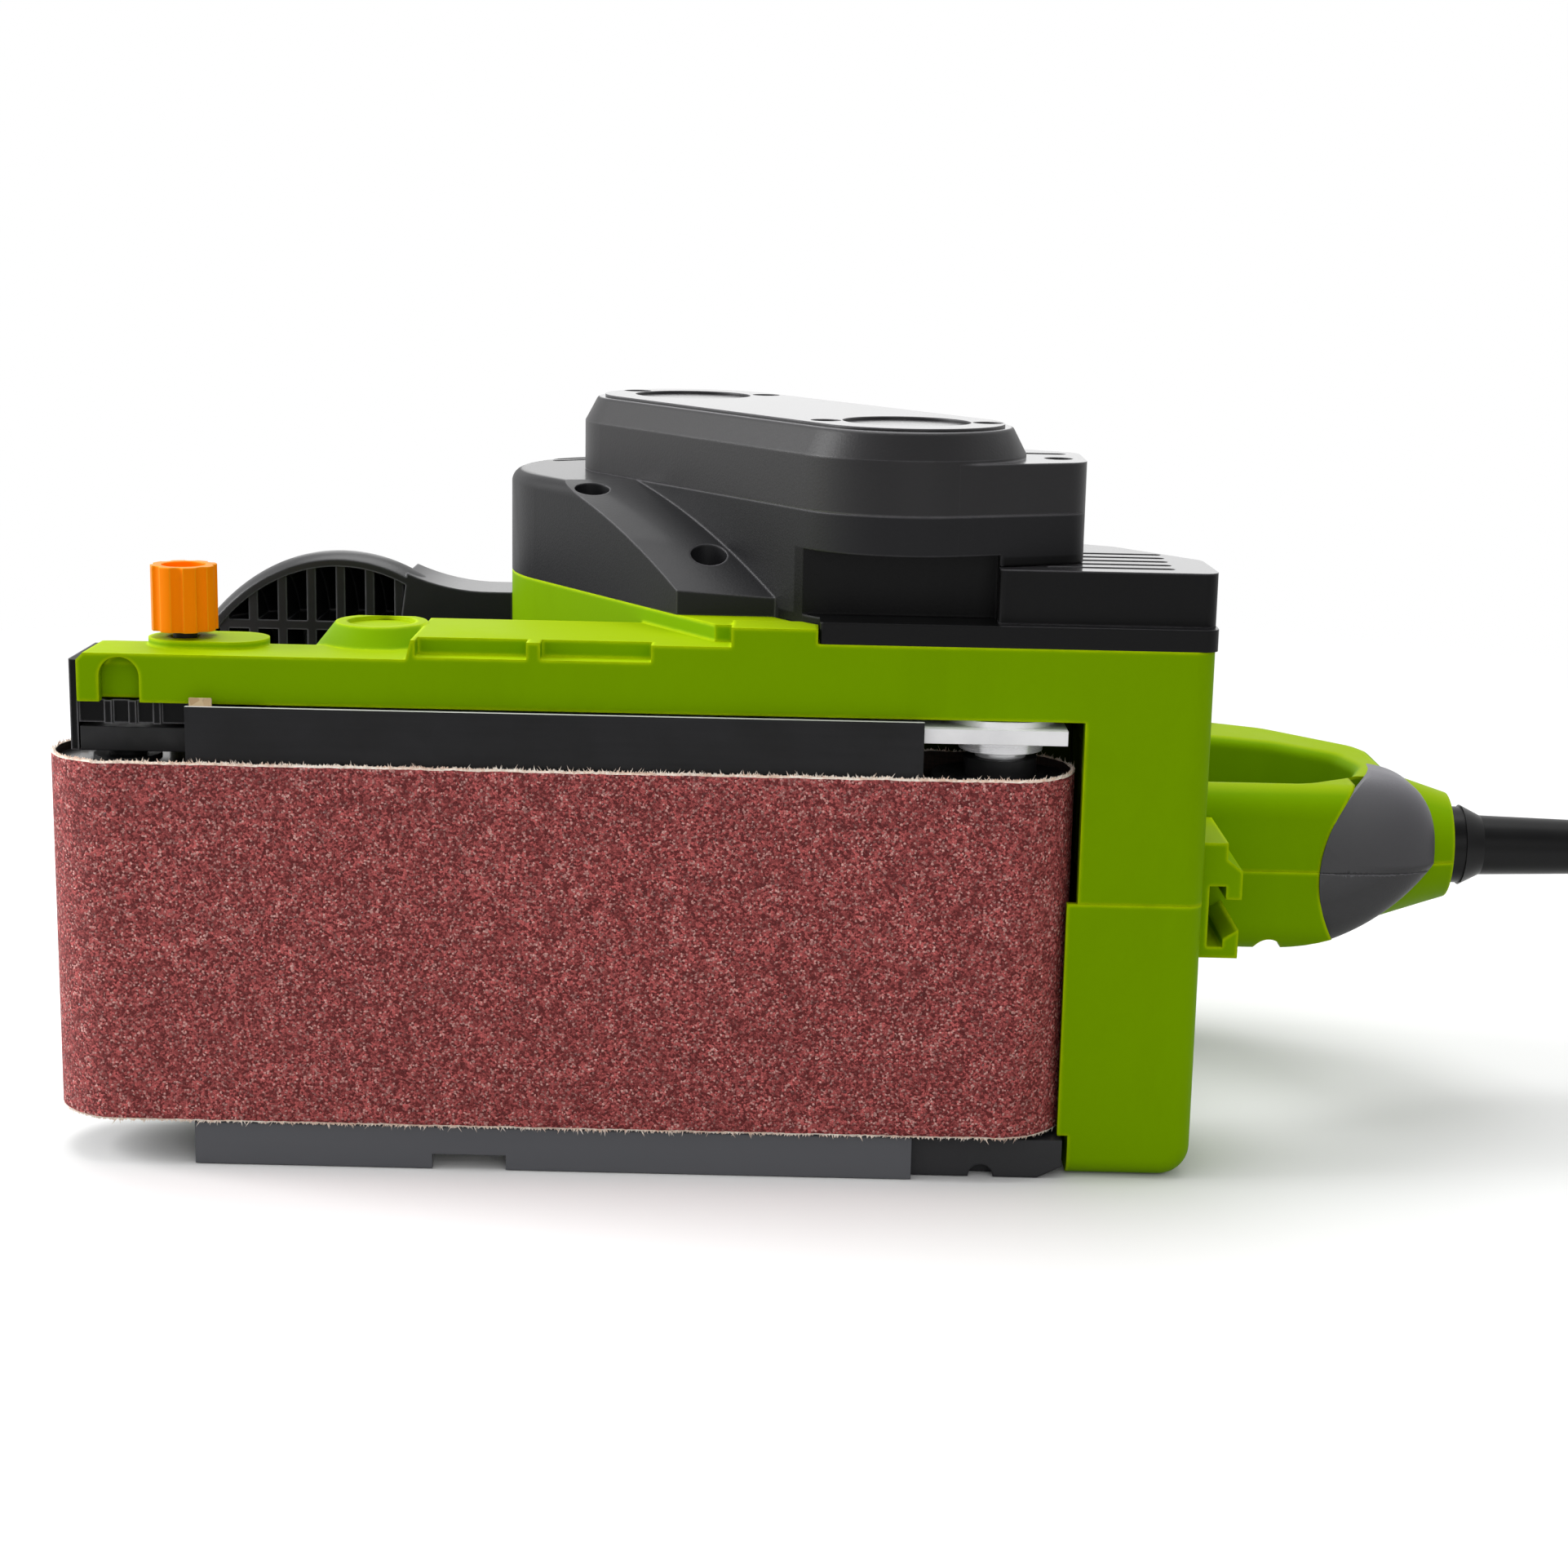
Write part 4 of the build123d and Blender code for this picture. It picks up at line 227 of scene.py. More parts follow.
def moulded_grain_group():
    """Spark-eroded mould skin: fine pebbles, slow mottling and faint handling smears."""
    outputs = [("Grain", "value"), ("Mottle", "value"), ("Smears", "value")]
    web = Group("moulded_grain", [], outputs)
    at = web.place()
    pebble = web.cells(at, PEBBLE_SCALE)["Distance"]
    fine = web.noise(at, PEBBLE_SCALE, detail=2.0)
    mottle = web.noise(at, MOTTLE_SCALE, detail=5.0)
    smeared = web.stretch(at, SMEAR_STRETCH)
    smear = web.noise(smeared, SMEAR_SCALE, detail=6.0, rough=0.65, warp=1.2)
    return web.give({
        "Grain": web.calc("MULTIPLY", pebble, fine),
        "Mottle": web.span(mottle, 0.32, 0.68),
        "Smears": web.span(smear, 0.5, 0.78),
    })


def soft_edges_group():
    """Rounds edges in the shading, and marks them in broken lines."""
    web = Group(
        "soft_edges",
        [("Radius", "value", 0.0007), ("Gain", "value", 6.0)],
        [("Normal", "vector"), ("Mask", "value")],
    )
    bevel = web.add("Bevel", {"Radius": web.given["Radius"]}, samples=BEVEL_SAMPLES)
    rounded = bevel.outputs[0]
    flat = web.add("NewGeometry").outputs["Normal"]
    off = web.calc("SUBTRACT", 1.0, web.vectors("DOT_PRODUCT", rounded, flat)["Value"])
    strong = web.calc("MULTIPLY", off, web.given["Gain"])
    broken = web.span(web.noise(web.place(), EDGE_BREAK_SCALE), 0.3, 0.7, 0.55, 1.0)
    return web.give({
        "Normal": rounded, "Mask": web.calc("MULTIPLY", strong, broken, clamp=True),
    })


def grit_group():
    """Abrasive coat: packed grains of uneven tone in dark resin, and a few bright facets."""
    outputs = [("Colour", "colour"), ("Height", "value"), ("Glint", "value")]
    web = Group("abrasive_grit", [], outputs)
    at = web.place()
    tone = web.channels(web.cells(at, GRIT_SCALE)["Color"])
    gap = web.cells(at, GRIT_SCALE, feature="DISTANCE_TO_EDGE")["Distance"]
    cloud = web.noise(at, GRIT_CLOUD_SCALE, detail=4.0, rough=0.7)
    grain = web.blend(web.span(tone[0], 0.25, 0.85), RESIN, GRAIN)
    grain = web.blend(web.span(tone[1], 0.8, 0.97), grain, PALE_GRAIN)
    grain = web.blend(web.span(cloud, 0.35, 0.62, 0.6, 0.0), grain, RESIN)
    stand = web.span(tone[2], 0.0, 1.0, 0.4, 1.0)
    return web.give({
        "Colour": web.blend(web.span(gap, 0.0, 0.09, 0.55, 0.0), grain, RESIN),
        "Height": web.calc("MULTIPLY", web.span(gap, 0.0, 0.3), stand),
        "Glint": web.span(tone[2], 0.965, 0.985),
    })


def drawn_lines_group():
    """Machining lines: streaks along one way, given by a stretch of the coordinates."""
    web = Group(
        "drawn_lines",
        [("Stretch", "vector", (900.0, 900.0, 40.0))],
        [("Lines", "value"), ("Cloud", "value")],
    )
    at = web.place()
    scaled = web.vectors("MULTIPLY", at, web.given["Stretch"])[0]
    return web.give({
        "Lines": web.noise(scaled, 1.0, detail=4.0, rough=0.7),
        "Cloud": web.noise(at, METAL_CLOUD_SCALE, detail=4.0),
    })


def within_box_group():
    """Marks the inside of a box in the shared frame, with a soft border."""
    nowhere = (0.0, 0.0, 0.0)
    web = Group(
        "within_box",
        [("Low", "vector", nowhere), ("High", "vector", nowhere), ("Soft", "value", 0.001)],
        [("Mask", "value")],
    )
    at = web.place()
    above = web.vectors("SUBTRACT", at, web.given["Low"])[0]
    below = web.vectors("SUBTRACT", web.given["High"], at)[0]
    part = web.axes(web.vectors("MINIMUM", above, below)[0])
    depth = web.calc("MINIMUM", web.calc("MINIMUM", part[0], part[1]), part[2])
    return web.give({"Mask": web.calc("DIVIDE", depth, web.given["Soft"], clamp=True)})


MOULDED_GRAIN = moulded_grain_group()
SOFT_EDGES = soft_edges_group()
ABRASIVE_GRIT = grit_group()
DRAWN_LINES = drawn_lines_group()
WITHIN_BOX = within_box_group()

# Finishes. Lengths are in metres, and scales are features a metre.
DULLING = 0.8
MOTTLING = 0.12
SMEAR_ROUGHENS = 0.14
COAT_ROUGH = 0.14
METAL_EDGE_R = 0.0003
METAL_EDGE_GAIN = 3.0
BLOOM_SCALE = 42.0
BLOOM_ROUGHENS = 0.12
THREAD_STRETCH = 0.08
CORK_SCALE = 620.0
WIRE_SCALE = 520.0

# How far up a face looks, as two heights of its normal between which a mark sets in.
# UPPER_FACES and ROUND_TOPS set in the painted top light, FLAT_TOPS the gloss and coat.
UPPER_FACES = (0.75, 0.97)
FLAT_TOPS = (0.92, 0.99)
ROUND_TOPS = (-0.15, 0.85)


class Finish(Web):
    """A material's node tree with its Principled shader."""

    def __init__(self, name):
        self.material = bpy.data.materials.new(name)
        self.material.use_nodes = True
        super().__init__(self.material.node_tree)
        self.shader = self.tree.nodes["Principled BSDF"]

    def set(self, inputs):
        """Sets or links the shader's own inputs."""
        for label, value in inputs.items():
            self.put(self.shader.inputs[label], value)

    def relief(self, height, depth, normal=None):
        """Fine bumps, over the surface's own normal or a given one."""
        bump = self.add("Bump", {"Height": height, "Distance": depth, "Strength": 1.0})
        if normal is not None:
            self.put(bump.inputs["Normal"], normal)
        self.set({"Normal": bump.outputs[0]})

    def facing_up(self, heights):
        """Marks faces that look up, as the tool lies."""
        normal = self.add("NewGeometry").outputs["Normal"]
        return self.span(self.axes(normal)[2], *heights)

    def with_painted_boxes(self, base, painted_boxes):
        """The base colour, with the colour of painted shade and painted light inside each box."""
        for s, h, z, soft, colour in painted_boxes:
            inside = self.use(WITHIN_BOX, {
                "Low": spot(s[0], h[0], z[0]), "High": spot(s[1], h[1], z[1]), "Soft": soft * MM,
            })
            base = self.blend(inside["Mask"], base, colour)
        return base


def moulded_finish(name, colour, edge_highlight, rough, specular, depth=0.00002, smears=0.25, tint=None,
                   radius=0.0007, edge_gain=6.0, painted_top_light=None, top_gloss=None, painted_boxes=()):
    """Moulded plastic: grain, mottling, handling smears, softened edges with a painted highlight
    in broken lines, and boxes of painted shade and painted light.

    Faces that look up may have a painted top light, and flat tops a roughness and a coat.
    """
    web = Finish(name)
    grain = web.use(MOULDED_GRAIN)
    edges = web.use(SOFT_EDGES, {"Radius": radius, "Gain": edge_gain})
    dull = tuple(c * DULLING for c in colour[:3]) + (1.0,)
    base = web.blend(web.calc("MULTIPLY", grain["Smears"], smears), colour, dull)
    base = web.blend(web.calc("MULTIPLY", grain["Mottle"], MOTTLING), base, dull)
    # Painted top light: a paler colour where a face looks up
    if painted_top_light:
        base = web.blend(web.facing_up(UPPER_FACES), base, painted_top_light)
    # Painted highlight along the edges, in broken lines
    base = web.blend(edges["Mask"], base, edge_highlight)
    uneven = web.span(grain["Smears"], 0.0, 1.0, rough, rough + SMEAR_ROUGHENS)
    if top_gloss:
        top_rough, top_coat = top_gloss
        tops = web.facing_up(FLAT_TOPS)
        uneven = web.span(tops, 0.0, 1.0, uneven, top_rough)
        web.set({"Coat Weight": web.calc("MULTIPLY", tops, top_coat)})
    if tint:
        web.set({"Specular Tint": tint})
    # The boxes of painted shade and painted light go over the base colour
    web.set({
        "Base Color": web.with_painted_boxes(base, painted_boxes), "Roughness": uneven,
        "Specular IOR Level": specular, "Coat Roughness": COAT_ROUGH,
    })
    web.relief(grain["Grain"], depth, edges["Normal"])
    return web.material


def metal_finish(name, colour, dark, rough, stretch, depth=0.000004, metallic=1.0, specular=0.5,
                 painted_top_light=None, painted_boxes=()):
    """Worked metal: machining lines, clouding, softened edges, a painted top light where given,
    and boxes of painted shade and painted light.
    """
    web = Finish(name)
    lines = web.use(DRAWN_LINES, {"Stretch": stretch})
    edges = web.use(SOFT_EDGES, {"Radius": METAL_EDGE_R, "Gain": METAL_EDGE_GAIN})
    base = web.blend(web.span(lines["Cloud"], 0.35, 0.7), colour, dark)
    base = web.blend(edges["Mask"], base, colour)
    # Painted highlight where a face looks up
    if painted_top_light:
        base = web.blend(web.facing_up(UPPER_FACES), base, painted_top_light)
    web.set({
        "Base Color": web.with_painted_boxes(base, painted_boxes), "Metallic": metallic,
        "Roughness": web.span(lines["Lines"], 0.25, 0.75, rough * 0.75, rough * 1.25),
        "Specular IOR Level": specular,
    })
    web.relief(lines["Lines"], depth, edges["Normal"])
    return web.material


def rubber_finish(name, colour, pale, rough, specular, grain=900.0, depth=0.00002, painted_top_light=None):
    """Rubber and soft plastic: a fine bloom over a dark body, with a painted top light where it
    looks up.
    """
    web = Finish(name)
    at = web.place()
    bloom = web.noise(at, BLOOM_SCALE, detail=6.0, rough=0.65)
    base = web.blend(web.span(bloom, 0.45, 0.75), colour, pale)
    # Painted sheen where a face looks up
    if painted_top_light:
        base = web.blend(web.facing_up(ROUND_TOPS), base, painted_top_light)
    web.set({
        "Base Color": base, "Specular IOR Level": specular,
        "Roughness": web.span(bloom, 0.3, 0.75, rough, rough + BLOOM_ROUGHENS),
    })
    web.relief(web.noise(at, grain), depth)
    return web.material


def grit_finish():
    """The belt's working face."""
    web = Finish("abrasive_coat")
    grit = web.use(ABRASIVE_GRIT)
    web.set({
        "Base Color": grit["Colour"], "Specular IOR Level": 0.35,
        "Roughness": web.span(grit["Glint"], 0.0, 1.0, 0.75, 0.12),
    })
    web.relief(grit["Height"], depth=0.00022)
    return web.material


def cloth_finish(name, colour, dark, thread):
    """Woven backing cloth of the belt, stiff with resin."""
    web = Finish(name)
    at = web.place()
    slow = thread * THREAD_STRETCH
    across = web.noise(web.stretch(at, (thread, thread, slow)), 1.0, detail=2.0)
    onward = web.noise(web.stretch(at, (slow, slow, thread)), 1.0, detail=2.0)
    weave = web.calc("MULTIPLY", web.calc("ADD", across, onward), 0.5)
    web.set({
        "Base Color": web.blend(web.span(weave, 0.4, 0.6), dark, colour), "Roughness": 0.85,
    })
    web.relief(weave, depth=0.00012)
    return web.material


def cork_finish():
    """Pressed cork: pale granules with dark flecks."""
    web = Finish("pressed_cork")
    granule = web.cells(web.place(), CORK_SCALE)
    tone = web.channels(granule["Color"])
    base = web.blend(tone[0], rgb(214, 190, 150), rgb(176, 140, 98))
    base = web.blend(web.span(tone[1], 0.86, 0.93), base, rgb(92, 66, 44))
    web.set({"Base Color": base, "Roughness": 0.9})
    web.relief(granule["Distance"], depth=0.0002)
    return web.material


def winding_finish():
    """Varnished copper wire, wound side by side."""
    web = Finish("varnished_windings")
    inputs = {"Vector": web.place(), "Scale": WIRE_SCALE, "Distortion": 1.5, "Detail": 1.0}
    wires = web.add("TexWave", inputs, bands_direction="DIAGONAL").outputs["Fac"]
    web.set({
        "Base Color": web.blend(wires, rgb(96, 44, 20), rgb(190, 104, 52)),
        "Metallic": 0.6, "Roughness": 0.35,
    })
    web.relief(wires, depth=0.0002)
    return web.material


# Boxes of painted shade and painted light: ranges of s, h and z, width of the border, and colour
# Near-black of painted shade
SHADE_BLACK = rgb(5, 5, 6)
# Painted shade inside the post behind the belt's end, and under the rail
POST_INSIDE = ((196, 216.5), (7.2, 60), (8, 97.5), 2.0, rgb(8, 12, 2))
RAIL_INSIDE = ((8, 216), (9, 40), (80, 104), 2.0, rgb(40, 52, 2))
# Painted bounce light from the floor on the bracket's foot
BRACKET_FOOT = ((150, 216), (-5, 30), (-1, 9.4), 0.5, rgb(54, 54, 56))
# Painted shade on the gear housing's rear block, lower strip and front window
REAR_BLOCK = ((195.6, 246), (-5, 60), (116.6, 129.8), 0.4, rgb(12, 12, 13))
LOWER_STRIP = ((150, 246), (-5, 60), (111, 116.6), 0.3, SHADE_BLACK)
FRONT_WINDOW = ((153.2, 195.4), (-5, 30), (116.2, 130.3), 0.3, SHADE_BLACK)
# Painted bounce light from the floor on the platen's lower strip
PLATEN_FOOT = ((0, 300), (-5, 20), (-1, 9.2), 0.5, rgb(94, 95, 99))
# Painted shade on the frame's nose
FRAME_NOSE = ((-5, 46), (-5, 40), (60, 105), 1.0, SHADE_BLACK)

# What several black mouldings have in common
MATT = {"rough": 0.42, "depth": 0.00003, "smears": 0.4, "top_gloss": (0.3, 0.7)}
# Pale edges and pale tops: painted highlight, and a painted reflection on the tops
GLOSSY_TOP = {
    "edge_highlight": rgb(112, 111, 114), "rough": 0.42, "depth": 0.000025, "smears": 0.4,
    "painted_top_light": rgb(74, 73, 76), "top_gloss": (0.16, 1.0),
}

# The second colour of each moulding is a painted highlight along its edges
GREEN = moulded_finish(
    "lime_moulding", rgb(122, 164, 0), rgb(196, 224, 6), rough=0.52, specular=0.06,
    tint=(0.6, 1.0, 0.02, 1.0), smears=0.4, radius=0.0014, painted_top_light=rgb(150, 178, 0),
    painted_boxes=(POST_INSIDE, RAIL_INSIDE),
)
BLACK = moulded_finish(
    "black_moulding", rgb(15, 15, 16), rgb(70, 69, 72), specular=0.15, painted_boxes=(BRACKET_FOOT,),
    **MATT,
)
CASE_BLACK = moulded_finish(
    "case_moulding", rgb(30, 30, 32), rgb(96, 95, 98), specular=0.16,
    painted_boxes=(REAR_BLOCK, LOWER_STRIP, FRONT_WINDOW), **MATT,
)
# The guard's ribs show as painted highlights on their edges, over near-black
GUARD_BLACK = moulded_finish(
    "guard_moulding", rgb(7, 7, 8), rgb(132, 131, 134), rough=0.4, specular=0.12, radius=0.0006,
    edge_gain=9.0,
)
CAP_BLACK = moulded_finish("cover_moulding", rgb(27, 26, 28), specular=0.33, **GLOSSY_TOP)
GRILLE_BLACK = moulded_finish("grille_moulding", rgb(12, 12, 13), specular=0.14, **GLOSSY_TOP)
GRIP_BLACK = moulded_finish(
    "grip_moulding", rgb(24, 24, 26), rgb(104, 104, 107), rough=0.36, specular=0.45, smears=0.3,
    top_gloss=(0.26, 0.6),
)
ORANGE = moulded_finish(
    "orange_knob", rgb(255, 132, 0), rgb(255, 176, 30), rough=0.4, specular=0.25, depth=0.000012,
    tint=(1.0, 0.7, 0.1, 1.0), smears=0.2, radius=0.0005,
)
NATURAL = moulded_finish(
    "natural_nylon", rgb(222, 218, 205), rgb(240, 238, 230), rough=0.45, specular=0.4,
    depth=0.00001,
)
PAD = rubber_finish(
    "soft_pad", rgb(26, 25, 28), rgb(38, 37, 40), rough=0.42, specular=0.5, grain=2600.0,
    depth=0.00006, painted_top_light=rgb(118, 117, 122),
)
RUBBER = rubber_finish("black_rubber", rgb(26, 26, 26), rgb(40, 40, 40), rough=0.7, specular=0.35)
SHEATH = rubber_finish(
    "cord_sheath", rgb(9, 9, 10), rgb(15, 15, 16), rough=0.3, specular=0.2, depth=0.000008,
)
CARBON = rubber_finish(
    "pressed_carbon", rgb(30, 30, 31), rgb(52, 52, 54), rough=0.55, specular=0.5,
)
GRIT = grit_finish()
# Brown backing cloth, darkened as painted shade for the inside of the loop
CLOTH = cloth_finish("belt_backing", rgb(58, 42, 32), rgb(34, 24, 18), thread=2200.0)
FRAY = cloth_finish("belt_edge", rgb(255, 246, 234), rgb(236, 206, 186), thread=1500.0)
CORK = cork_finish()
WINDINGS = winding_finish()
# The platen's top edge is bare steel, with a painted highlight on it
PLATEN = metal_finish(
    "blackened_platen", rgb(30, 30, 32), rgb(22, 22, 23), rough=0.5, stretch=(40.0, 900.0, 900.0),
    metallic=0.0, specular=0.2, painted_top_light=rgb(206, 206, 206), painted_boxes=(PLATEN_FOOT,),
)
DARK_STEEL = metal_finish(
    "blackened_steel", rgb(34, 34, 36), rgb(22, 22, 23), rough=0.45, stretch=(300.0, 300.0, 300.0),
    metallic=0.0, specular=0.3,
)
# Pale alloy, its colour raised near white as a painted reflection of the white surroundings
CAST = metal_finish(
    "cast_alloy", rgb(248, 248, 249), rgb(232, 232, 234), rough=0.4, stretch=(500.0, 500.0, 500.0),
    depth=0.00004, metallic=0.12, painted_boxes=(FRAME_NOSE,),
)
# Pale steel, its colour raised near white as a painted reflection of the white surroundings
STEEL = metal_finish(
    "ground_steel", rgb(246, 246, 247), rgb(224, 224, 227), rough=0.26,
    stretch=(80.0, 80.0, 2200.0), metallic=0.4,
)
LAMINATED = metal_finish(
    "laminated_steel", rgb(120, 119, 122), rgb(86, 85, 88), rough=0.5,
    stretch=(30.0, 30.0, 3000.0), depth=0.00003,
)
BRASS = metal_finish(
    "plain_brass", rgb(214, 178, 104), rgb(184, 146, 80), rough=0.3, stretch=(80.0, 80.0, 2200.0),
)
COPPER = metal_finish(
    "copper_bars", rgb(206, 128, 88), rgb(170, 94, 60), rough=0.34, stretch=(2400.0, 2400.0, 60.0),
)

FINISHES = {
    GREEN: ("left_shell", "right_shell", "dust_rail"),
    CASE_BLACK: ("gear_housing",),
    GUARD_BLACK: ("front_guard",),
    BLACK: (
        "drive_bracket", "front_roller", "lock_button", "trigger", "switch_body", "plug",
        "cord_tie",
    ),
    CAP_BLACK: ("drive_cover",),
    GRILLE_BLACK: ("vent_grille",),
    GRIP_BLACK: ("front_grip",),
    ORANGE: ("tracking_knob",),
    NATURAL: ("driven_pulley", "fan"),
    PAD: ("handle_pad_left", "handle_pad_right"),
    RUBBER: ("drum_rubber", "drive_belt", "final_belt"),
    SHEATH: ("strain_relief", "cord", "cord_coil"),
    GRIT: ("sanding_belt",),
    PLATEN: ("platen",),
    CORK: ("platen_pad",),
    CAST: ("frame",),
    DARK_STEEL: ("front_yoke", "front_axle", "front_bushes", "tracking_screw", "drive_drum"),
    STEEL: (
        "armature_shaft", "counter_bearings", "countershaft", "cover_screws",
        "drive_bearing_left", "drive_bearing_right", "drive_shaft", "frame_screws",
        "housing_screws", "lever_pin", "motor_bearings", "motor_pulley", "platen_screws",
        "roller_pulley", "shell_screws", "tension_lever", "tension_spring",
    ),
    LAMINATED: ("armature_core", "stator"),
    BRASS: ("brush_holders", "plug_pins"),
    COPPER: ("commutator",),
    CARBON: ("carbon_brushes",),
    WINDINGS: ("armature_windings", "field_coils"),
}
for finish, names in FINISHES.items():
    for name in names:
        for holder in nodes[name].material_slots:
            holder.material = finish


def new_piece(name, build, *finishes):
    """A mesh object made from a bmesh, with its finishes."""
    mesh = bpy.data.meshes.new(name)
    build.normal_update()
    build.to_mesh(mesh)
    build.free()
    for finish in finishes:
        mesh.materials.append(finish)
    piece = bpy.data.objects.new(name, mesh)
    scene.collection.objects.link(piece)
    return piece


# Mains cord: out of the sleeve, down to the floor, and the rest in a tied coil
CORD_R = 3.8
CORD_H = 62.0
CORD_Z = 60.5
SLEEVE_END = (360, CORD_H, CORD_Z)
COIL_CENTRE_S = 500.0
COIL_R = 52.0
COIL_Z = 4.65
COIL_PITCH = 8.2
COIL_TURNS = 3
POINTS_A_TURN = 12
CORD_TAIL = 34.0
CORD_ROUTE = [
    SLEEVE_END,
    (384, CORD_H, CORD_Z),
    (408, CORD_H, 47),
    (428, CORD_H, 25),
    (450, CORD_H, 10),
    (476, CORD_H, COIL_Z),
    (COIL_CENTRE_S, CORD_H, COIL_Z),
]


def coil_points():
    """Turns of the coil: half circles that shrink on the floor, climb once, and grow on top."""
    halves = 4 * COIL_TURNS + 1
    steps = POINTS_A_TURN // 2
    swell = 1 / math.cos(math.pi / POINTS_A_TURN)
    h, z = CORD_H, COIL_Z
    points = []
    for k in range(halves):
        r = COIL_R - COIL_PITCH / 2 * min(k, halves - 1 - k)
        way = 1 if k % 2 == 0 else -1
        climb = COIL_PITCH if k == 2 * COIL_TURNS else 0.0
        for i in range(steps):
            angle = math.pi * (i + 0.5) / steps
            points.append((
                COIL_CENTRE_S + way * swell * r * math.sin(angle),
                h + way * (r - swell * r * math.cos(angle)),
                z + climb * (i + 0.5) / steps,
            ))
        h += 2 * way * r
        z += climb
    return points + [(COIL_CENTRE_S, h, z), (COIL_CENTRE_S - CORD_TAIL, h, z)]


def mains_cord():
    """The cord as one NURBS curve with a round bevel."""
    curve = bpy.data.curves.new("mains_cord", "CURVE")
    curve.dimensions = "3D"
    curve.bevel_depth = 1.0
    curve.bevel_resolution = 4
    curve.use_fill_caps = True
    route = [spot(*p) for p in CORD_ROUTE + coil_points()]
    spline = curve.splines.new("NURBS")
    spline.points.add(len(route) - 1)
    for point, at in zip(spline.points, route):
        point.co = (*at, 1.0)
        point.radius = CORD_R * MM
    spline.order_u = 3
    spline.use_endpoint_u = True
    spline.resolution_u = 6
    curve.materials.append(SHEATH)
    piece = bpy.data.objects.new("mains_cord", curve)
    scene.collection.objects.link(piece)
    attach(piece, "housing")
    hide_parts("cord", "cord_coil")


mains_cord()

# Sanding belt, its edges slightly wavy from wear
LOOP_OUT = 15.5
LOOP_IN = 14.6
FRONT_S = 15.5
DRIVE_S = 196.876
AXLE_H = 15.5
BELT_WIDTH = 76.0
BELT_LOW = 9.6
BELT_HIGH = BELT_LOW + BELT_WIDTH
LOOP_LENGTH = 2 * (DRIVE_S - FRONT_S) + 2 * math.pi * LOOP_OUT
BELT_STEPS = 620
BELT_ROWS = (0.0, 0.35, 1.2, 14.0, 38.0, 62.0, 74.8, 75.65, BELT_WIDTH)
EDGE_ROUND = 0.22
GRIT_FACE, CLOTH_FACE, EDGE_FACE = 0, 1, 2

# Waves of the edges: height in millimetres, and how fine they are. They fade out over
# one of twelve strips of the belt's width.
EDGE_WAVES = ((0.16, 14.0), (0.12, 70.0), (0.1, 210.0))
EDGES_APART = 3.0
FADE_STRIPS = 12


def loop_at(run, radius):
    """A point at a distance run round the belt's outer face, and the outward way there.

    The radius of the belt's wrap tells how deep in the belt the point lies.
    """
    straight = DRIVE_S - FRONT_S
    wrap = math.pi * LOOP_OUT
    run %= LOOP_LENGTH
    if run < straight:
        return (FRONT_S + run, AXLE_H - radius), (0.0, -1.0)
    if run < straight + wrap:
        centre = DRIVE_S
        angle = (run - straight) / LOOP_OUT - math.pi / 2
    elif run < 2 * straight + wrap:
        return (DRIVE_S - (run - straight - wrap), AXLE_H + radius), (0.0, 1.0)
    else:
        centre = FRONT_S
        angle = (run - 2 * straight - wrap) / LOOP_OUT + math.pi / 2
    way = (math.cos(angle), math.sin(angle))
    return (centre + radius * way[0], AXLE_H + radius * way[1]), way


def worn_edge(run, side):
    """How far the belt's edge strays from straight at a place on the loop, in millimetres."""
    turn = 2 * math.pi * run / LOOP_LENGTH
    at = Vector((math.cos(turn), math.sin(turn), side * EDGES_APART))
    return sum(height * noise.noise(at * fine) for height, fine in EDGE_WAVES)


def sanding_belt():
    """The belt as a closed band: grit outside, cloth inside, pale cut edges."""
    build = bmesh.new()
    rings = []
    for i in range(BELT_STEPS):
        run = LOOP_LENGTH * i / BELT_STEPS
        low, high = worn_edge(run, -1), worn_edge(run, 1)
        ring = []
        for radius, rows in ((LOOP_OUT, BELT_ROWS), (LOOP_IN, BELT_ROWS[::-1])):
            (s, h), way = loop_at(run, radius)
            for z in rows:
                strips = FADE_STRIPS * (z / BELT_WIDTH)
                lift = low * max(0.0, 1 - strips) + high * max(0.0, strips - FADE_STRIPS + 1)
                outer_edge = radius == LOOP_OUT and z in (0.0, BELT_WIDTH)
                inward = EDGE_ROUND if outer_edge else 0.0
                at = spot(s - way[0] * inward, h - way[1] * inward, BELT_LOW + z + lift)
                ring.append(build.verts.new(at))
        rings.append(ring)
    around = 2 * len(BELT_ROWS)
    outside = len(BELT_ROWS) - 1
    cut_edges = (0, outside - 1, outside, around - 1)
    for i in range(BELT_STEPS):
        this, after = rings[i], rings[(i + 1) % BELT_STEPS]
        for k in range(around):
            n = (k + 1) % around
            face = build.faces.new((this[k], after[k], after[n], this[n]))
            face.smooth = True
            if k in cut_edges:
                face.material_index = EDGE_FACE
            else:
                face.material_index = GRIT_FACE if k < outside else CLOTH_FACE
    piece = new_piece("abrasive_belt", build, GRIT, CLOTH, FRAY)
    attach(piece, "housing")
    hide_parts("sanding_belt")


# Broken threads along the belt's edges: ranges of length and thickness, in millimetres
THREAD_SEED = 41
THREADS_A_SIDE = 2300
THREAD_RADII = (LOOP_IN + 0.15, LOOP_OUT - 0.05)
LONG_SHARE = 0.12
LONG_THREAD = ((0.6, 1.3), (0.12, 0.24))
SHORT_THREAD = ((0.15, 0.55), (0.16, 0.42))
LEAN_OUT = (-0.3, 0.35)
LEAN_ONWARD = (-0.9, 0.9)
ROOT_DEPTH = 0.12


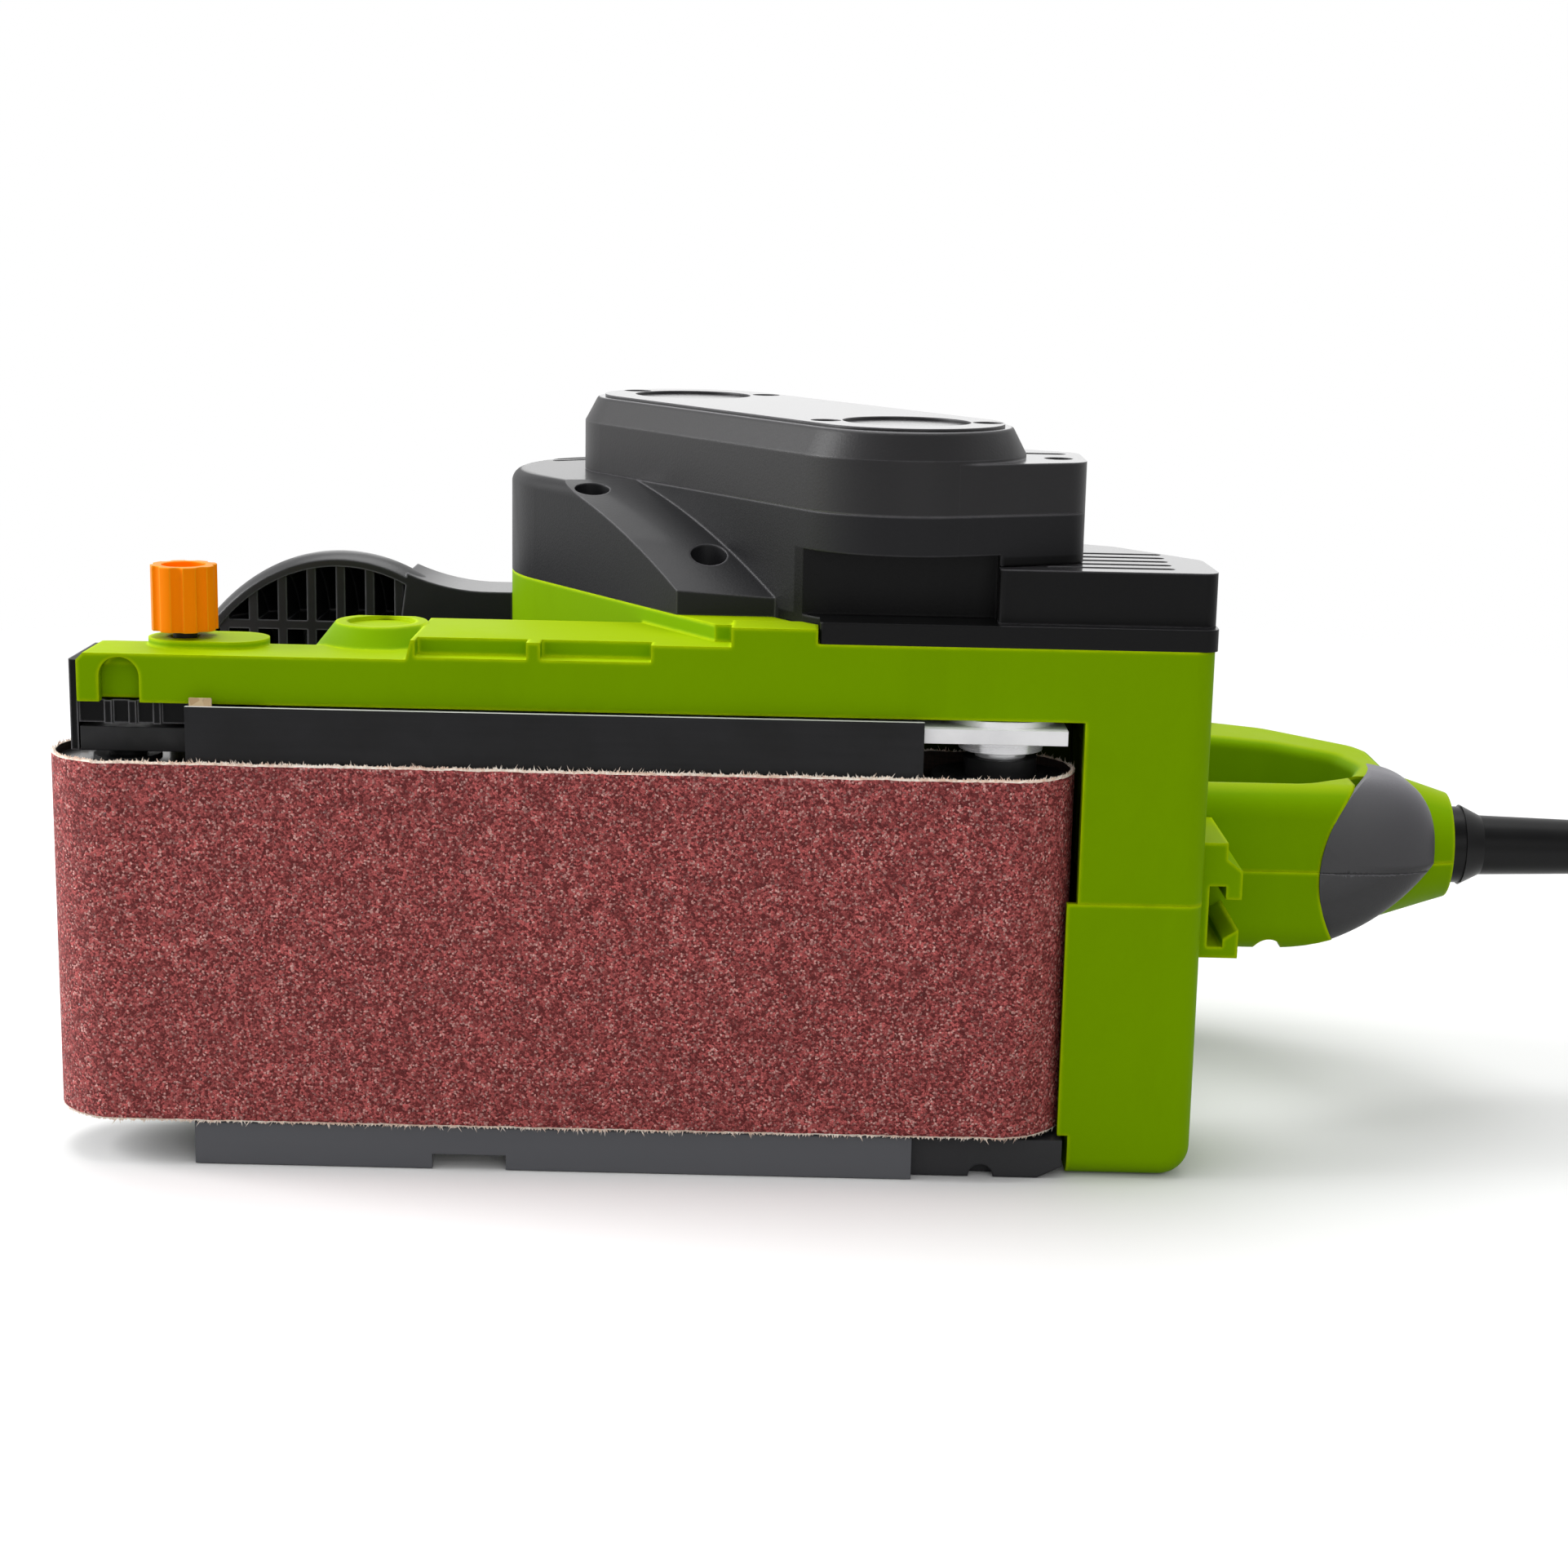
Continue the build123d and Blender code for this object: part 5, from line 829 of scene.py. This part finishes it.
def frayed_threads():
    """Short broken threads and grains along both edges of the belt."""
    rng = random.Random(THREAD_SEED)
    build = bmesh.new()
    for side in (-1, 1):
        for _ in range(THREADS_A_SIDE):
            run = rng.uniform(0.0, LOOP_LENGTH)
            radius = rng.uniform(*THREAD_RADII)
            (s, h), way = loop_at(run, radius)
            edge = (BELT_HIGH if side > 0 else BELT_LOW) + worn_edge(run, side)
            lengths, widths = LONG_THREAD if rng.random() < LONG_SHARE else SHORT_THREAD
            length = rng.uniform(*lengths)
            thick = rng.uniform(*widths)
            out = Vector((way[0], way[1], 0.0))
            onward = Vector((-way[1], way[0], 0.0))
            lean = out * rng.uniform(*LEAN_OUT) + onward * rng.uniform(*LEAN_ONWARD)
            tip = Vector((s, h, edge)) + lean * length + Vector((0, 0, side * length))
            foot = Vector((s, h, edge - side * ROOT_DEPTH))
            across = out * thick * 0.5
            back = foot - onward * thick * 0.5
            corners = [foot + onward * thick, back + across, back - across]
            base = [build.verts.new(spot(*c)) for c in corners]
            top = build.verts.new(spot(*tip))
            for a in range(3):
                build.faces.new((base[a], base[(a + 1) % 3], top))
            build.faces.new(base[::-1])
    bmesh.ops.recalc_face_normals(build, faces=build.faces)
    piece = new_piece("belt_fray", build, FRAY)
    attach(piece, "housing")


sanding_belt()
frayed_threads()

# Raised plate on the drive cover, with a round field over each pulley and four screw wells.
# Its measures run along and beside the line from the motor's axis to the countershaft's.
MOTOR_AT = (128.5, 100.0)
COUNTER_AT = (176.0, 30.0)
CENTRES = math.hypot(COUNTER_AT[0] - MOTOR_AT[0], COUNTER_AT[1] - MOTOR_AT[1])
LEAN = ((COUNTER_AT[0] - MOTOR_AT[0]) / CENTRES, (COUNTER_AT[1] - MOTOR_AT[1]) / CENTRES)
COVER_TOP = 154.7
PLATE_HALF = 20.4
PLATE_RISE = 0.6
PLATE_SINK = 0.05
FIELD_R = 13.4
WELL_R = 3.2
WELLS = ((-16.0, -5.5), (6.0, 16.4), (76.6, -14.9), (94.0, 14.0))
END_STEPS = 80
SIDE_STEPS = 40
FIELD_STEPS = 120
WELL_STEPS = 40


def beside_line(a, b, z):
    """A point a along the line between the axes and b beside it."""
    s = MOTOR_AT[0] + a * LEAN[0] - b * LEAN[1]
    h = MOTOR_AT[1] + a * LEAN[1] + b * LEAN[0]
    return spot(s, h, z)


def arc(a, b, radius, start, turn, steps):
    """Points of a round from a start angle, without the last one."""
    angles = [start + turn * k / steps for k in range(steps)]
    return [(a + radius * math.cos(t), b + radius * math.sin(t)) for t in angles]


def cover_plate():
    """The plate: flat top, upright rim, and open fields and wells."""
    near_end = arc(0.0, 0.0, PLATE_HALF, math.pi / 2, math.pi, END_STEPS)
    far_end = arc(CENTRES, 0.0, PLATE_HALF, -math.pi / 2, math.pi, END_STEPS)
    out = [(CENTRES * k / SIDE_STEPS, -PLATE_HALF) for k in range(SIDE_STEPS)]
    back = [(CENTRES * (1 - k / SIDE_STEPS), PLATE_HALF) for k in range(SIDE_STEPS)]
    loops = [near_end + out + far_end + back]
    loops += [arc(a, 0.0, FIELD_R, 0.0, math.tau, FIELD_STEPS) for a in (0.0, CENTRES)]
    loops += [arc(a, b, WELL_R, 0.0, math.tau, WELL_STEPS) for a, b in WELLS]
    build = bmesh.new()
    edges = []
    for loop in loops:
        foot = [build.verts.new(beside_line(a, b, COVER_TOP - PLATE_SINK)) for a, b in loop]
        top = [build.verts.new(beside_line(a, b, COVER_TOP + PLATE_RISE)) for a, b in loop]
        for k in range(len(loop)):
            n = (k + 1) % len(loop)
            build.faces.new((foot[k], foot[n], top[n], top[k]))
            edges.append(build.edges.get((top[k], top[n])))
    bmesh.ops.triangle_fill(build, use_beauty=True, edges=edges)
    bmesh.ops.recalc_face_normals(build, faces=build.faces)
    piece = new_piece("cover_plate", build, CAP_BLACK)
    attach(piece, "housing")


cover_plate()

# Soft pads of the handle's end, one domed skin with a groove at the shells' parting.
# Rounds are given by the s and z of their centre and their radius.
PAD_MIDDLE = (275.0, 61.0)
PAD_SEAM = (297.6, 58.0, 28.7)
TAIL_ROUND = (275.0, 60.5, 20.3)
TAIL_SWEEP = (255.7, 86.2, 47.4)
TAIL_START_S = 250.0
TAIL_Z = (40.8, 81.2)
TAIL_FULLNESS = 2.7
LOWER_FULLNESS = 2.0
PAD_FACE_H = 36.9
PAD_TURN_H = 46.0
PAD_BACK_H = 52.8
PAD_TURNS = 180
PAD_RINGS = 26
RING_CROWDING = 1.6
DOME_FULLNESS = 2.4
SEAM_DEPTH = 2.0
SEAM_TUCK = 0.05
PART_Z = 59.0
GROOVE_HALF = 0.25
GROOVE_DEPTH = 0.6
CUT_TOLERANCE = 1e-7
ON_PARTING = 1e-6
FARTHEST = 40.0
HALVINGS = 40


def inside_tail(s, z):
    """True inside the handle end's outline, seen from the sanding face."""
    if not TAIL_START_S < s or not TAIL_Z[0] < z < TAIL_Z[1]:
        return False
    power = TAIL_FULLNESS if z > TAIL_ROUND[1] else LOWER_FULLNESS
    out = abs(s - TAIL_ROUND[0]) ** power + abs(z - TAIL_ROUND[1]) ** power
    if s > TAIL_ROUND[0] and out > TAIL_ROUND[2] ** power:
        return False
    swept = math.hypot(s - TAIL_SWEEP[0], z - TAIL_SWEEP[1]) <= TAIL_SWEEP[2]
    return swept or s <= TAIL_SWEEP[0] or z >= TAIL_SWEEP[1]


def inside_seam(s, z):
    """True on the pad's side of its seam with the green ring."""
    return math.hypot(s - PAD_SEAM[0], z - PAD_SEAM[1]) < PAD_SEAM[2]


def pad_place(r, angle):
    """s and z at a distance and an angle from the pad's middle."""
    return PAD_MIDDLE[0] + r * math.cos(angle), PAD_MIDDLE[1] + r * math.sin(angle)


def reach(angle, test):
    """How far a straight line from the pad's middle stays inside."""
    low, high = 0.0, FARTHEST
    for _ in range(HALVINGS):
        middle = (low + high) / 2
        low, high = (middle, high) if test(*pad_place(middle, angle)) else (low, middle)
    return low


def handle_pads():
    """The domed pads: rings from the middle out, and a rim that goes down into the handle."""
    build = bmesh.new()

    def skin(r, angle, h):
        s, z = pad_place(r, angle)
        return build.verts.new(spot(s, h, z))

    middle = skin(0.0, 0.0, PAD_FACE_H)
    lines = []
    for k in range(PAD_TURNS):
        angle = math.tau * k / PAD_TURNS
        full, seam = reach(angle, inside_tail), reach(angle, inside_seam)
        limit = min(full, seam)
        line = []
        for i in range(1, PAD_RINGS + 1):
            r = limit * (1 - (1 - i / PAD_RINGS) ** RING_CROWDING)
            u = min(1.0, r / full)
            dome = max(0.0, 1 - u ** DOME_FULLNESS) ** (1 / DOME_FULLNESS)
            h = PAD_TURN_H - (PAD_TURN_H - PAD_FACE_H) * dome
            line.append(skin(r, angle, h))
        deep = PAD_BACK_H if seam >= full else min(PAD_BACK_H, h + SEAM_DEPTH)
        line.append(skin(limit - SEAM_TUCK, angle, deep))
        lines.append(line)
    for k in range(PAD_TURNS):
        this, after = lines[k], lines[(k + 1) % PAD_TURNS]
        build.faces.new((middle, this[0], after[0]))
        for i in range(PAD_RINGS):
            build.faces.new((this[i], this[i + 1], after[i + 1], after[i]))
    for z in (PART_Z - GROOVE_HALF, PART_Z, PART_Z + GROOVE_HALF):
        everything = list(build.verts) + list(build.edges) + list(build.faces)
        bmesh.ops.bisect_plane(
            build, geom=everything, plane_co=(0, 0, z * MM), plane_no=(0, 0, 1),
            dist=CUT_TOLERANCE,
        )
    for vert in build.verts:
        if abs(vert.co.z - PART_Z * MM) < ON_PARTING:
            vert.co.y += GROOVE_DEPTH * MM
    bmesh.ops.recalc_face_normals(build, faces=build.faces)
    for face in build.faces:
        face.smooth = True
    piece = new_piece("handle_pads", build, PAD)
    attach(piece, "housing")
    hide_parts("handle_pad_left", "handle_pad_right")


handle_pads()

# Tension spring between the sliding yoke and the frame
SPRING_S = (37.7, 57.3)
SPRING_Z = 47.6
SPRING_R = 5.6
SPRING_WIRE_R = 0.7
SPRING_TURNS = 5
STEPS_A_TURN = 30
WIRE_SIDES = 8


def coil_spring():
    """A round wire wound in a helix from the yoke to the frame."""
    build = bmesh.new()
    steps = SPRING_TURNS * STEPS_A_TURN
    ahead = Vector((1.0, 0.0, 0.0))
    sides = [math.tau * i / WIRE_SIDES for i in range(WIRE_SIDES)]
    rings = []
    for k in range(steps + 1):
        turn = math.tau * k / STEPS_A_TURN
        out = Vector((0.0, math.sin(turn), -math.cos(turn)))
        s = SPRING_S[0] + (SPRING_S[1] - SPRING_S[0]) * k / steps
        at = Vector((s, AXLE_H, SPRING_Z)) + SPRING_R * out
        ring = [at + SPRING_WIRE_R * (math.cos(a) * out + math.sin(a) * ahead) for a in sides]
        rings.append([build.verts.new(spot(*p)) for p in ring])
    for this, after in zip(rings, rings[1:]):
        for i in range(WIRE_SIDES):
            n = (i + 1) % WIRE_SIDES
            build.faces.new((this[i], this[n], after[n], after[i])).smooth = True
    build.faces.new(rings[0])
    build.faces.new(rings[-1][::-1])
    bmesh.ops.recalc_face_normals(build, faces=build.faces)
    piece = new_piece("coil_spring", build, STEEL)
    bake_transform(piece)
    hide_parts("tension_spring")


coil_spring()

# Studio: pale floor, white surroundings and soft lamps
FLOOR_HALF = 6.0
FLOOR_DROP = 0.0002
FLOOR_TONE = grey(0.9)
FLOOR_BOUNCE = grey(0.4)
WHITE_FROM = (0.3, 0.75)
WORLD_LIGHT = 0.62
GLOSS_FRONT = 0.22
GLOSS_TURN = (-0.8, 0.2)


def studio_floor():
    """A pale floor that keeps the shadow near the tool and goes to plain white far from it."""
    mesh = bpy.data.meshes.new("studio_floor")
    half = FLOOR_HALF
    corners = [(-half, -half, 0), (half, -half, 0), (half, half, 0), (-half, half, 0)]
    mesh.from_pydata(corners, [], [(0, 1, 2, 3)])
    floor = bpy.data.objects.new("studio_floor", mesh)
    floor.location.z = -FLOOR_DROP
    scene.collection.objects.link(floor)
    web = Finish("pale_floor")
    ray = web.add("LightPath").outputs
    web.set({
        "Base Color": web.blend(ray["Is Diffuse Ray"], FLOOR_TONE, FLOOR_BOUNCE),
        "Roughness": 0.8, "Specular IOR Level": 0.1,
    })
    away = web.add("VectorMath", {0: web.place()}, operation="LENGTH").outputs["Value"]
    far = web.span(away, *WHITE_FROM)
    mirrored = web.calc("ADD", ray["Is Camera Ray"], ray["Is Glossy Ray"])
    seen = web.calc("ADD", mirrored, ray["Is Transmission Ray"], clamp=True)
    white = web.add("Emission", {"Color": grey(1.0), "Strength": 1.0}).outputs[0]
    mixed = web.add("MixShader", {
        0: web.calc("MULTIPLY", far, seen), 1: web.shader.outputs[0], 2: white,
    })
    web.put(web.tree.nodes["Material Output"].inputs["Surface"], mixed.outputs[0])
    mesh.materials.append(web.material)


def studio_world():
    """White surroundings: white where seen, softer as light, dimmer in gloss on the open side."""
    world = bpy.data.worlds.new("studio")
    world.use_nodes = True
    scene.world = world
    web = Web(world.node_tree)
    ray = web.add("LightPath").outputs
    seen = web.calc("ADD", ray["Is Camera Ray"], ray["Is Transmission Ray"], clamp=True)
    way = web.axes(web.add("TexCoord").outputs["Generated"])
    gloss = web.span(way[1], *GLOSS_TURN, GLOSS_FRONT, 1.0)
    level = web.span(seen, 0.0, 1.0, WORLD_LIGHT, 1.0)
    level = web.span(ray["Is Glossy Ray"], 0.0, 1.0, level, gloss)
    ground = world.node_tree.nodes["Background"]
    web.put(ground.inputs["Color"], grey(1.0))
    web.put(ground.inputs["Strength"], level)


def soft_lamp(name, at, target, size, power):
    """A square soft box that looks at a point; metres and watts."""
    light = bpy.data.lights.new(name, "AREA")
    light.shape = "SQUARE"
    light.size = size
    light.energy = power
    lamp = bpy.data.objects.new(name, light)
    lamp.location = at
    lamp.rotation_euler = (Vector(target) - Vector(at)).to_track_quat("-Z", "Y").to_euler()
    scene.collection.objects.link(lamp)


studio_floor()
studio_world()
soft_lamp("overhead_box", (-0.1, 0.25, 1.15), target=(-0.02, 0.05, 0.08), size=0.9, power=9.0)
soft_lamp("left_box", (-1.15, 0.02, 0.62), target=(-0.05, 0.0, 0.08), size=0.6, power=12.0)
soft_lamp("front_box", (0.25, -1.3, 0.55), target=(0.0, 0.0, 0.06), size=0.7, power=2.2)
scene.view_settings.view_transform = "Standard"

bpy.context.view_layer.update()
